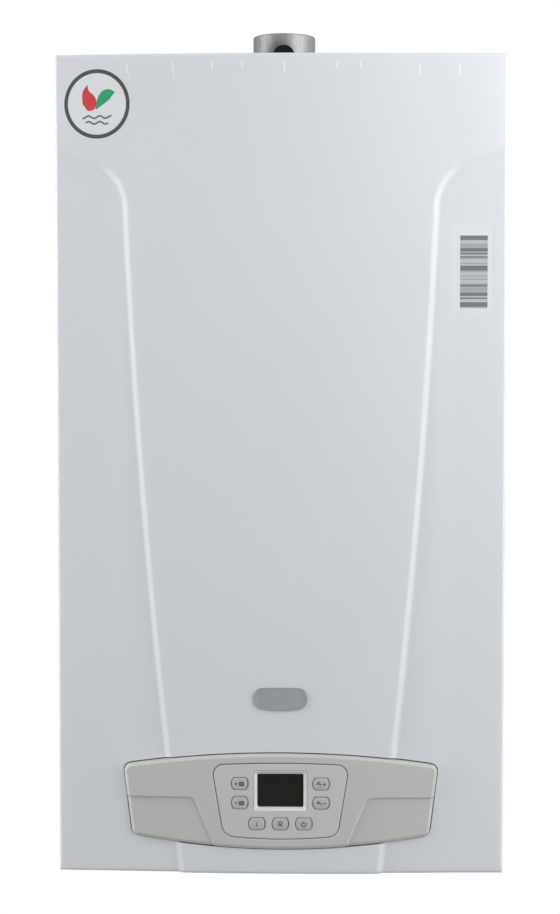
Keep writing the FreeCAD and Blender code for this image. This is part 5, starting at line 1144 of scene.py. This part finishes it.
badge = domed_cap(lambda x, z: panel_edge(x, z, BADGE), BADGE_MIDDLE, 2.2, badge_out, BADGE_BACK,
                  BADGE_ROLL, 160)
make_piece("badge_plate", [badge], "front_cover", "badge_metal", ["cover_badge"])

# %% [markdown]
# ## The flue spigot
# The spigot on top takes the flue pipe. It is a rolled steel tube with a swaged bead that stops
# the pipe, and a round port at the front where a flue gas probe goes in. The tube is made
# unrolled: a flat grid of the way round and the height, from which the port is cut with the same
# trimming as the keypad, and which is then wrapped round the axis at a radius that swells at the
# bead.

# %% Wrap the tube
TUBE_RADIUS = 30 * MM
TUBE_WALL = 1 * MM
PORT_RADIUS = 10.5 * MM
BEAD_UP = above_edge(735.25)
BEAD_SWELL, BEAD_HALF = 3 * MM, 1.9 * MM
BEAD_STEPS = np.linspace(-2, 2, 17) * MM
RIM_ROLL, RIM_RUN = 0.35 * MM, 1.2 * MM
TUBE_ROWS, TUBE_COLUMNS = 82, 181
tube_low, tube_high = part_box("flue_spigot")
TUBE_AXIS = box_middle("flue_spigot")


def port_edge(around, z):
    """Distance into the port of a point on the unrolled tube, by where it lies across once it is
    wrapped."""
    turn = around / TUBE_RADIUS
    gap = PORT_RADIUS - np.hypot(TUBE_RADIUS * np.sin(turn), z - TEST_PORT[2])
    return np.where(np.abs(turn) < math.pi / 2, gap, -TUBE_RADIUS)


def tube_radius(z):
    """The tube's radius, with a half-round swell at the bead and a slightly rolled upper rim."""
    swell = BEAD_SWELL * np.sqrt(np.clip(1 - ((z - BEAD_UP) / BEAD_HALF) ** 2, 0, 1))
    rolled = RIM_ROLL * np.clip((z - tube_high.z + RIM_RUN) / RIM_RUN, 0, 1) ** 2
    return TUBE_RADIUS + swell - rolled


half_turn = math.pi * TUBE_RADIUS
even_heights = np.linspace(tube_low.z, tube_high.z, TUBE_ROWS)
tube_heights = np.union1d(even_heights, BEAD_UP + BEAD_STEPS)
around, upward = np.meshgrid(np.linspace(-half_turn, half_turn, TUBE_COLUMNS), tube_heights)
around, upward, tube_faces = trim(around, upward, port_edge)
turn, radius = around / TUBE_RADIUS, tube_radius(upward)
tube_points = spots(TUBE_AXIS.x + radius * np.sin(turn),
                    -TUBE_AXIS.y + radius * np.cos(turn), upward)
make_piece("spigot_tube", [used_only(tube_points, tube_faces)], "chassis", "spigot_steel",
           ["flue_spigot"], wall=TUBE_WALL)

# %% [markdown]
# ## Threaded connections
# Five brass stubs come through the bottom plate: flow, return and gas in the larger pipe thread,
# hot and cold water in the smaller one. Each is turned from hexagon bar, so the hexagon that rests
# on the plate is part of it. A turned part is a loop of radii carried round an axis. Here a radius
# may also depend on the angle, which gives the hexagon its six flats, and lets the thread climb
# one pitch in every turn, so that it closes on itself at the seam.

# %% Stubs with a real thread
PITCH = 1.814 * MM
THREAD_DEPTH = 1.16 * MM
THREAD_STOP = 0.3 * MM
THREAD_ROWS = 132
CREST, FLANK = 1.25, 1.5
CHAMFER = 1.8 * MM
STUB_WALL = 4 * MM
STUB_OUT = -box_middle("connections_large").y
STUB_HEIGHTS = (10, 40, 50, 70)
NECK_CUT = 0.9 * MM
HEXAGON_HIGH = 9 * MM
HEXAGON_BEVEL = 0.6 * MM


def thread_radius(turn, z, radius, low):
    """Radius on a climbing ridge with flat crests and roots, and a chamfer at the open end."""
    phase = np.mod((z - low) / PITCH - turn / (2 * math.pi), 1)
    ridge = np.clip(CREST - FLANK * np.abs(2 * phase - 1), 0, 1)
    chamfer = np.clip((low + CHAMFER - z) / CHAMFER, 0, 1) * THREAD_DEPTH
    return radius - np.maximum(THREAD_DEPTH * (1 - ridge), chamfer)


def stub(across, radius, hexagon, columns=72):
    """One closed stub: up the thread, the relief, the hexagon and the neck, and back down the
    bore."""
    turn = spokes(columns)[None, :]
    low, relief, plate, top = map(above_edge, STUB_HEIGHTS)
    flats = hexagon * math.cos(math.pi / 6) / np.cos(np.mod(turn, math.pi / 3) - math.pi / 6)
    bevel, head = flats - HEXAGON_BEVEL, plate + HEXAGON_HIGH
    neck, bore = (np.full(turn.shape, radius - cut) for cut in (NECK_CUT, STUB_WALL))
    heights = np.linspace(low, relief - THREAD_STOP, THREAD_ROWS)[:, None]
    radii = np.concatenate([thread_radius(turn, heights, radius, low), neck, neck, bevel, flats,
                            flats, bevel, neck, neck, bore, bore])
    steps = [relief, plate, plate, plate + HEXAGON_BEVEL, head - HEXAGON_BEVEL, head, head, top,
             top, low]
    heights = np.concatenate([heights[:, 0], steps])[:, None]
    points = spots(across + radii * np.cos(turn), STUB_OUT - radii * np.sin(turn), heights)
    return points, quads(len(heights), columns, True, True)


LARGE_THREAD, LARGE_HEXAGON = 13.2 * MM, 18 * MM
SMALL_THREAD, SMALL_HEXAGON = 10.5 * MM, 15 * MM
large_stubs = [stub(across * MM, LARGE_THREAD, LARGE_HEXAGON) for across in (-130, 0, 130)]
small_stubs = [stub(across * MM, SMALL_THREAD, SMALL_HEXAGON) for across in (-65, 65)]
make_piece("large_threads", large_stubs, "chassis", "brass", ["connections_large"])
make_piece("small_threads", small_stubs, "chassis", "brass", ["connections_small"])

# %% [markdown]
# ## Printed signs
# The keys carry the usual signs of a boiler: a radiator and a tap, each with plus and minus, a
# letter for information, one for reset and the power sign. They are pad-printed, so each is a set
# of thin ribbons a tenth of a millimetre thick, laid on its dome. A ribbon is a path with an
# offset to its left and right, and rides on its key.

# %% Paths and ribbons
INK_LIFT = 0.05 * MM


def stroke(*corners):
    """A path through corners in millimetres, with nine points on each run."""
    ends = np.array(corners, float)
    share = np.linspace(0, 1, 9)[:, None]
    return np.concatenate([a + (b - a) * share for a, b in zip(ends[:-1], ends[1:])])


def bend(across, high, radius, start, end):
    """A path along an arc in millimetres, between two angles in degrees."""
    turn = np.radians(np.linspace(start, end, 33))
    return np.stack([across + radius * np.cos(turn), high + radius * np.sin(turn)], axis=1)


def ribbon(path, width, middle, out):
    """A strip along a path: each point moved half a width to the right and left of its run."""
    path = np.asarray(path) * MM
    run = np.gradient(path, axis=0)
    left = np.stack([-run[:, 1], run[:, 0]], axis=1)
    left /= np.maximum(np.linalg.norm(left, axis=1, keepdims=True), 1e-9)
    sides = np.stack([path - left * width / 2, path + left * width / 2])
    x, z = middle[0] + sides[..., 0], middle[1] + sides[..., 1]
    return spots(x, out(x, z) + INK_LIFT, z), quads(2, len(path))


print("a quarter bend has", len(bend(0, 0, 1, 0, 90)), "points")

# %% Signs on the keys
INK_WIDTH = 0.85 * MM
INK_WALL = 0.1 * MM
INK = grained("key_ink", (52, 53, 52), (66, 67, 66), 0.5, 2500, 0.004)


def level_bar(across, half, high=0.0):
    """A level stroke of a given half length about a point."""
    return stroke((across - half, high), (across + half, high))


def upright_bar(across, half):
    """An upright stroke of a given half length."""
    return stroke((across, -half), (across, half))


def minus(across):
    """One level bar."""
    return [level_bar(across, 1.25)]


def plus(across):
    """A minus with an upright bar of the same length."""
    return minus(across) + [upright_bar(across, 1.25)]


def radiator(across):
    """Four upright columns, crossed by two level pipes."""
    bars = [upright_bar(across + step, 1.9) for step in (-1.8, -0.6, 0.6, 1.8)]
    return bars + [level_bar(across, 2.2, high) for high in (-1.5, 1.5)]


def tap(across):
    """A level spout that bends down, a stem with a level handle, and a drop."""
    return [stroke((across - 2.3, 0.2), (across + 0.8, 0.2)), bend(across + 0.8, -0.9, 1.1, 90, 0),
            stroke((across - 0.6, 0.2), (across - 0.6, 1.6)), level_bar(across - 0.6, 0.9, 1.7),
            stroke((across + 1.9, -1.7), (across + 1.9, -2.4))]


SIGNS = {
    "button_heating_up": plus(-3.2) + radiator(1.6),
    "button_heating_down": minus(-3.2) + radiator(1.6),
    "button_water_up": tap(-1.6) + plus(3.2),
    "button_water_down": tap(-1.6) + minus(3.2),
    "button_info": [stroke((0, -2.3), (0, 0.9)), stroke((0, 1.9), (0, 2.5))],
    "button_reset": [stroke((-1.3, -2.4), (-1.3, 2.3)), stroke((-1.3, 2.1), (0.4, 2.1)),
                     bend(0.4, 1.0, 1.1, 90, -90), stroke((0.4, -0.1), (-1.3, -0.1)),
                     stroke((0.1, -0.1), (1.5, -2.4))],
    "button_power": [bend(0, -0.2, 2.0, 125, 415), stroke((0, 0.2), (0, 2.5))],
}
for name, paths in SIGNS.items():
    middle = BUTTON_PLACES[name]
    strips = [ribbon(path, INK_WIDTH, middle, lambda x, z: button_out(x, z, middle))
              for path in paths]
    make_piece(name + "_sign", strips, name, "black_plastic", finish=INK, wall=INK_WALL)

# %% [markdown]
# ## Stickers
# Two paper stickers are on the cover: a round one with a dark ring, and an upright one with a
# block of grey stripes. Paper follows the metal under it, so each is a small grid whose height is
# the cover's own, plus a tenth of a millimetre. The ring comes from the distance to the sticker's
# middle, and the stripes from the height, cut into thin bands with a random grey each.

# %% Round and striped stickers
STICKER_RADIUS = 30.1 * MM
STICKER_TALL = 1.04
STICKER_MIDDLE = (-161.9 * MM, above_edge(686.4))
LABEL_SIDES = (149.6 * MM, 186.7 * MM)
LABEL_ENDS = (above_edge(501.5), above_edge(582))
PAPER = 0.12 * MM
PAPER_RIM = -0.3 * PAPER


def round_sticker():
    """Rings and spokes of a slightly tall disc, laid on the cover, the rim turned down to the
    metal."""
    turn = spokes(128)[None, :]
    share = np.append(1.0, np.linspace(1, 0, 24))[:, None]
    x = STICKER_MIDDLE[0] + STICKER_RADIUS * share * np.cos(turn)
    z = STICKER_MIDDLE[1] + STICKER_RADIUS * STICKER_TALL * share * np.sin(turn)
    lift = np.full(share.shape, PAPER)
    lift[0] = PAPER_RIM
    return spots(x, cover_out(x, z) + lift, z), quads(*x.shape, close_columns=True)


def striped_label():
    """A rectangular grid laid on the cover, with its border turned down to the metal."""
    x, z = np.meshgrid(np.linspace(*LABEL_SIDES, 25), np.linspace(*LABEL_ENDS, 49))
    lift = np.full(x.shape, PAPER)
    lift[[0, -1], :] = lift[:, [0, -1]] = PAPER_RIM
    return spots(x, cover_out(x, z) + lift, z), quads(*x.shape)


print("the round sticker is", round(2 * STICKER_RADIUS, 4), "across, the label",
      round(LABEL_SIDES[1] - LABEL_SIDES[0], 4), "by", round(LABEL_ENDS[1] - LABEL_ENDS[0], 4))

# %% Paper for both
RING_INNER, RING_OUTER = (25.6 * MM, 26.1 * MM), (29.0 * MM, 29.4 * MM)
STRIPE_SIDES = (158.6 * MM, 182.9 * MM)
STRIPE_ENDS = (above_edge(506.4), above_edge(570.7))
STRIPE_BAND = 1.4 * MM
STRIPE_SEED = 11.5


def ringed_paper():
    """Pale paper with a dark ring near the rim, and a thin pale line outside it."""
    finish = Finish("ringed_paper")
    middle = (STICKER_MIDDLE[0], 0.0, STICKER_MIDDLE[1])
    far = finish.distance((1.0, 0.0, 1 / STICKER_TALL), middle)
    ring = finish.ease(far, *RING_INNER) * (1 - finish.ease(far, *RING_OUTER))
    paper = finish.mix(finish.noise(240, 4.0), (216, 219, 221), (226, 229, 231))
    finish.feed("Base Color", finish.mix(ring, paper, (64, 66, 69)))
    finish.feed("Roughness", 0.42 + 0.1 * finish.noise(500))
    return finish


def striped_paper():
    """Pale paper; inside the block the height is cut into bands, and each band takes one grey."""
    finish = Finish("striped_paper")
    x, z = finish.axis("X"), finish.axis("Z")
    steps = (z - STRIPE_ENDS[0]) / STRIPE_BAND
    band = finish.node("ShaderNodeMath", {"operation": "FLOOR"}, {0: steps})
    chance = finish.node("ShaderNodeTexWhiteNoise", {"noise_dimensions": "1D"},
                         {"W": band + STRIPE_SEED})
    across = (x > STRIPE_SIDES[0]) * (x < STRIPE_SIDES[1])
    block = across * (z > STRIPE_ENDS[0]) * (z < STRIPE_ENDS[1])
    paper = finish.mix(finish.noise(240, 4.0), (215, 218, 221), (221, 224, 227))
    level = 0.6 * (chance > 0.34) + 0.4 * (chance > 0.72)
    grey = finish.mix(level, (110, 112, 114), (184, 186, 189))
    finish.feed("Base Color", finish.mix(block, paper, grey))
    finish.feed("Roughness", 0.5 + 0.1 * finish.noise(500))
    return finish


make_piece("round_sticker", [round_sticker()], "front_cover", "white_enamel",
           finish=ringed_paper())
make_piece("striped_label", [striped_label()], "front_cover", "white_enamel",
           finish=striped_paper())

# %% [markdown]
# ## What is printed on the round sticker
# The round sticker carries a plain sign for clean heat: a red flame, a green leaf and two grey
# waves. A brush mark is a ribbon whose width changes along its path, so the leaf swells and closes
# as a sine does, and the flame is widest near its foot and ends in a long tip.

# %% Flame, leaf and waves
def print_ink(slot, low, high):
    """Ink, white or coloured, with hardly any relief."""
    return grained(slot, low, high, 0.5, 900, 0.004)


def printed(name, path, widths, ink):
    """One brush mark on the sticker, from a path and widths along it in millimetres."""
    mark = ribbon(path, np.asarray(widths)[:, None] * MM, STICKER_MIDDLE,
                  lambda x, z: cover_out(x, z) + PAPER)
    make_piece(name, [mark], "front_cover", "white_enamel", finish=ink, wall=INK_WALL)


run = np.linspace(0, 1, 41)
flame_path = np.stack([-8 + 1.6 * np.sin(2 * math.pi * run), -6 + 23 * run], axis=1)
leaf_path = np.stack([-1 + 17 * run, -5 + 15 * run + 4.5 * np.sin(math.pi * run)], axis=1)
printed("sticker_flame", flame_path, 12.5 * np.sin(math.pi * run ** 0.6) ** 1.15 + 0.02,
        print_ink("print_red", (196, 52, 54), (206, 66, 64)))
printed("sticker_leaf", leaf_path, 9.5 * np.sin(math.pi * run) ** 0.9 + 0.02,
        print_ink("print_green", (26, 146, 94), (40, 158, 106)))
grey_ink = print_ink("print_grey", (92, 94, 97), (104, 106, 109))
for name, level, reach in (("sticker_wave_upper", -11.5, 13), ("sticker_wave_lower", -16.5, 10)):
    across = reach * (2 * run - 1)
    wave = np.stack([across, level + 1.1 * np.sin(across * math.pi / 5)], axis=1)
    printed(name, wave, np.full(len(run), 1.5), grey_ink)

# %% [markdown]
# ## Hairlines under the top edge
# A few white hairlines lie on the enamel near its upper edge. Lines in the colour would be
# lost from a step away, so each is a ribbon under a millimetre wide. Places, lengths and leans
# are drawn from a seeded generator, so they look accidental and still come out the same.

# %% Hairlines
HAIRLINES = 9
draw = np.random.default_rng(7)
hair_side = np.linspace(-138, 152, HAIRLINES) + draw.uniform(-9, 9, HAIRLINES)
hair_drop = draw.uniform(4, 8, HAIRLINES)
hair_length = draw.uniform(9, 18, HAIRLINES)
hair_lean = draw.uniform(-1, 3.5, HAIRLINES)


def hairline(side, drop, length, lean):
    """A short line down from the edge that leans as the square of the way along it and closes at
    its ends."""
    share = np.linspace(0, 1, 15)
    path = np.stack([side + lean * share ** 2, -drop - length * share], axis=1)
    width = (0.1 + 0.7 * np.sin(math.pi * share))[:, None] * MM
    return ribbon(path, width, (0.0, UPPER_EDGE), cover_out)


hairline_ribbons = [hairline(*values) for values in zip(hair_side, hair_drop, hair_length, hair_lean)]
make_piece("cover_hairlines", hairline_ribbons, "front_cover", "white_enamel", wall=INK_WALL,
           finish=print_ink("hairline_white", (240, 242, 243), (248, 249, 250)))

# %% [markdown]
# ## The pressure gauge's dial
# The gauge looks down from the bottom plate, where someone standing in front can read it. Its dial
# is a printed disc with a hole for the needle's pin, a scale of nineteen ticks over three quarters
# of a turn, and a red arc at the high end. Disc, ticks and arc are flat grids round the same
# centre.

# %% Dial, ticks and red arc
GAUGE_MIDDLE = box_middle("gauge_lens")
GAUGE_FACE = above_edge(45)
DIAL_UP = GAUGE_FACE - 0.12 * MM
PRINT_UP = GAUGE_FACE - 0.2 * MM
DIAL_RADII = np.linspace(2.2, 17.6, 8) * MM
ARC_RADII = np.array([15.0, 16.6]) * MM
SCALE_START, SCALE_TURN = math.radians(225), math.radians(-270)
RED_SHARES = np.linspace(0.76, 1.0, 24)
TICKS = 19
TICK_OUTER, MAJOR_INNER, MINOR_INNER = 14.4 * MM, 10.6 * MM, 12.4 * MM
MAJOR_SIDE, MINOR_SIDE = 0.45 * MM, 0.3 * MM


def ring_grid(radii, turns, height):
    """Flat grid that looks down: one row for each radius, one column for each angle."""
    radius, turn = radii[:, None], turns[None, :]
    x = GAUGE_MIDDLE.x + radius * np.cos(turn)
    return spots(x, -GAUGE_MIDDLE.y + radius * np.sin(turn), height)


def scale_ticks():
    """Short bars across the scale, every third one longer and wider."""
    step = np.arange(TICKS)
    major = step % 3 == 0
    turn = (SCALE_START + SCALE_TURN * step / (TICKS - 1))[:, None, None]
    inner = np.where(major, MAJOR_INNER, MINOR_INNER)
    radius = np.stack([inner, np.full(TICKS, TICK_OUTER)], axis=1)[:, :, None]
    side = np.where(major, MAJOR_SIDE, MINOR_SIDE)[:, None, None] * np.array([-1, 1])
    x = GAUGE_MIDDLE.x + radius * np.cos(turn) - side * np.sin(turn)
    out = -GAUGE_MIDDLE.y + radius * np.sin(turn) + side * np.cos(turn)
    return spots(x, out, PRINT_UP), np.array([[0, 1, 3, 2]]) + 4 * step[:, None]


dial_paper = grained("dial_paper", (226, 227, 225), (236, 237, 235), 0.5, 900, 0.006)
disc = ring_grid(DIAL_RADII, spokes(96), DIAL_UP)
make_piece("gauge_dial", [(disc, quads(*disc.shape[:2], close_columns=True))], "chassis",
           "gauge_black", finish=dial_paper)
red_arc = ring_grid(ARC_RADII, SCALE_START + SCALE_TURN * RED_SHARES, PRINT_UP)
make_piece("gauge_red_arc", [(red_arc, quads(*red_arc.shape[:2])[:, ::-1])], "chassis",
           "needle_red")
make_piece("gauge_ticks", [scale_ticks()], "chassis", "gauge_black", finish=INK)

# %% [markdown]
# ## Screws
# Small fasteners are left to this script: the two screws under the cover, those round the
# chamber's lid and those of the blanked air intake. A pan head is a flattened dome on rings and
# spokes, with a cross pressed into it. All the heads of a group are made in one go, by adding each
# place to the same grid.

# %% Screw heads
DIRECTIONS = {
    "front": np.array([(1, 0, 0), (0, 0, 1), (0, -1, 0)], float),
    "up": np.array([(1, 0, 0), (0, 1, 0), (0, 0, 1)], float),
    "down": np.array([(1, 0, 0), (0, -1, 0), (0, 0, -1)], float),
}
HEAD_HIGH, HEAD_ROUND, HEAD_SUNK = 0.55, 0.82, 0.05
ARM_LONG, ARM_WIDE, ARM_DEEP = 0.58, 0.15, 0.3


def pan_head(radius):
    """Rings from the centre to the rim and down its wall: a low dome, less a pressed cross. All its
    sizes are shares of the radius."""
    turn = spokes(48)[None, :]
    share = np.append(np.linspace(0, 1, 15), 1.0)[:, None]
    across, along = radius * share * np.cos(turn), radius * share * np.sin(turn)
    height = radius * HEAD_HIGH * np.sqrt(1 - (HEAD_ROUND * share) ** 2) + 0 * turn
    long_arm, wide_arm = ARM_LONG * radius, ARM_WIDE * radius
    arms = (np.abs(across) < long_arm) & (np.abs(along) < wide_arm)
    arms |= (np.abs(along) < long_arm) & (np.abs(across) < wide_arm)
    height = np.where(arms, height - ARM_DEEP * radius, height)
    height[-1] = -HEAD_SUNK * radius
    return np.stack([across, along, height], axis=-1)


def screw_heads(name, places, toward, radius, body):
    """Pan heads at several places, looking one way, as one piece."""
    head = pan_head(radius)
    points = np.asarray(places)[:, None, None, :] + (head @ DIRECTIONS[toward])[None]
    faces = quads(*head.shape[:2], close_columns=True)[:, ::-1]
    starts = np.arange(len(points))[:, None, None] * head.shape[0] * head.shape[1]
    make_piece(name, [(points, (faces[None] + starts).reshape(-1, 4))], body, "galvanised_sheet")


print("a head has", pan_head(1.0).size // 3, "points")

# %% Places of the screws
SCREW_RADIUS = 3.6 * MM
BLANK_SCREW_RADIUS = 3.2 * MM
FOLD_MIDDLE = 8.5 * MM
cover_places = [(across * MM, -COVER_BACK - FOLD_MIDDLE, LOWER_EDGE) for across in (-160, 160)]
screw_heads("cover_screws", cover_places, "down", SCREW_RADIUS, "front_cover")

LID_MARGIN, LID_END, LID_SHEET = 6 * MM, 30 * MM, 1.2 * MM
lid_low, lid_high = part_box("chamber_cover")
lid_x = [lid_low.x + LID_MARGIN, lid_high.x - LID_MARGIN]
lid_z = np.linspace(lid_low.z + LID_END, lid_high.z - LID_END, 5)
lid_places = [(x, lid_high.y - LID_SHEET, z) for x in lid_x for z in lid_z]
screw_heads("lid_screws", lid_places, "front", SCREW_RADIUS, "chassis")

BLANK_CIRCLE, BLANK_SHEET = 41.5 * MM, 1.5 * MM
blank_middle = box_middle("air_intake_blank")
blank_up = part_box("air_intake_blank")[0].z + BLANK_SHEET
blank_places = [(blank_middle.x + BLANK_CIRCLE * math.cos(turn),
                 blank_middle.y + BLANK_CIRCLE * math.sin(turn), blank_up)
                for turn in np.radians([45, 135, 225, 315])]
screw_heads("blank_screws", blank_places, "up", BLANK_SCREW_RADIUS, "chassis")

# %% How far the dressed boiler reaches past the solids
visual_low, visual_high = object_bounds()
past = [round(step / MM, 2) for step in (*(cad_low - visual_low), *(visual_high - cad_high))]
print("the dressed boiler reaches past the solids by", past, "mm on its six sides")
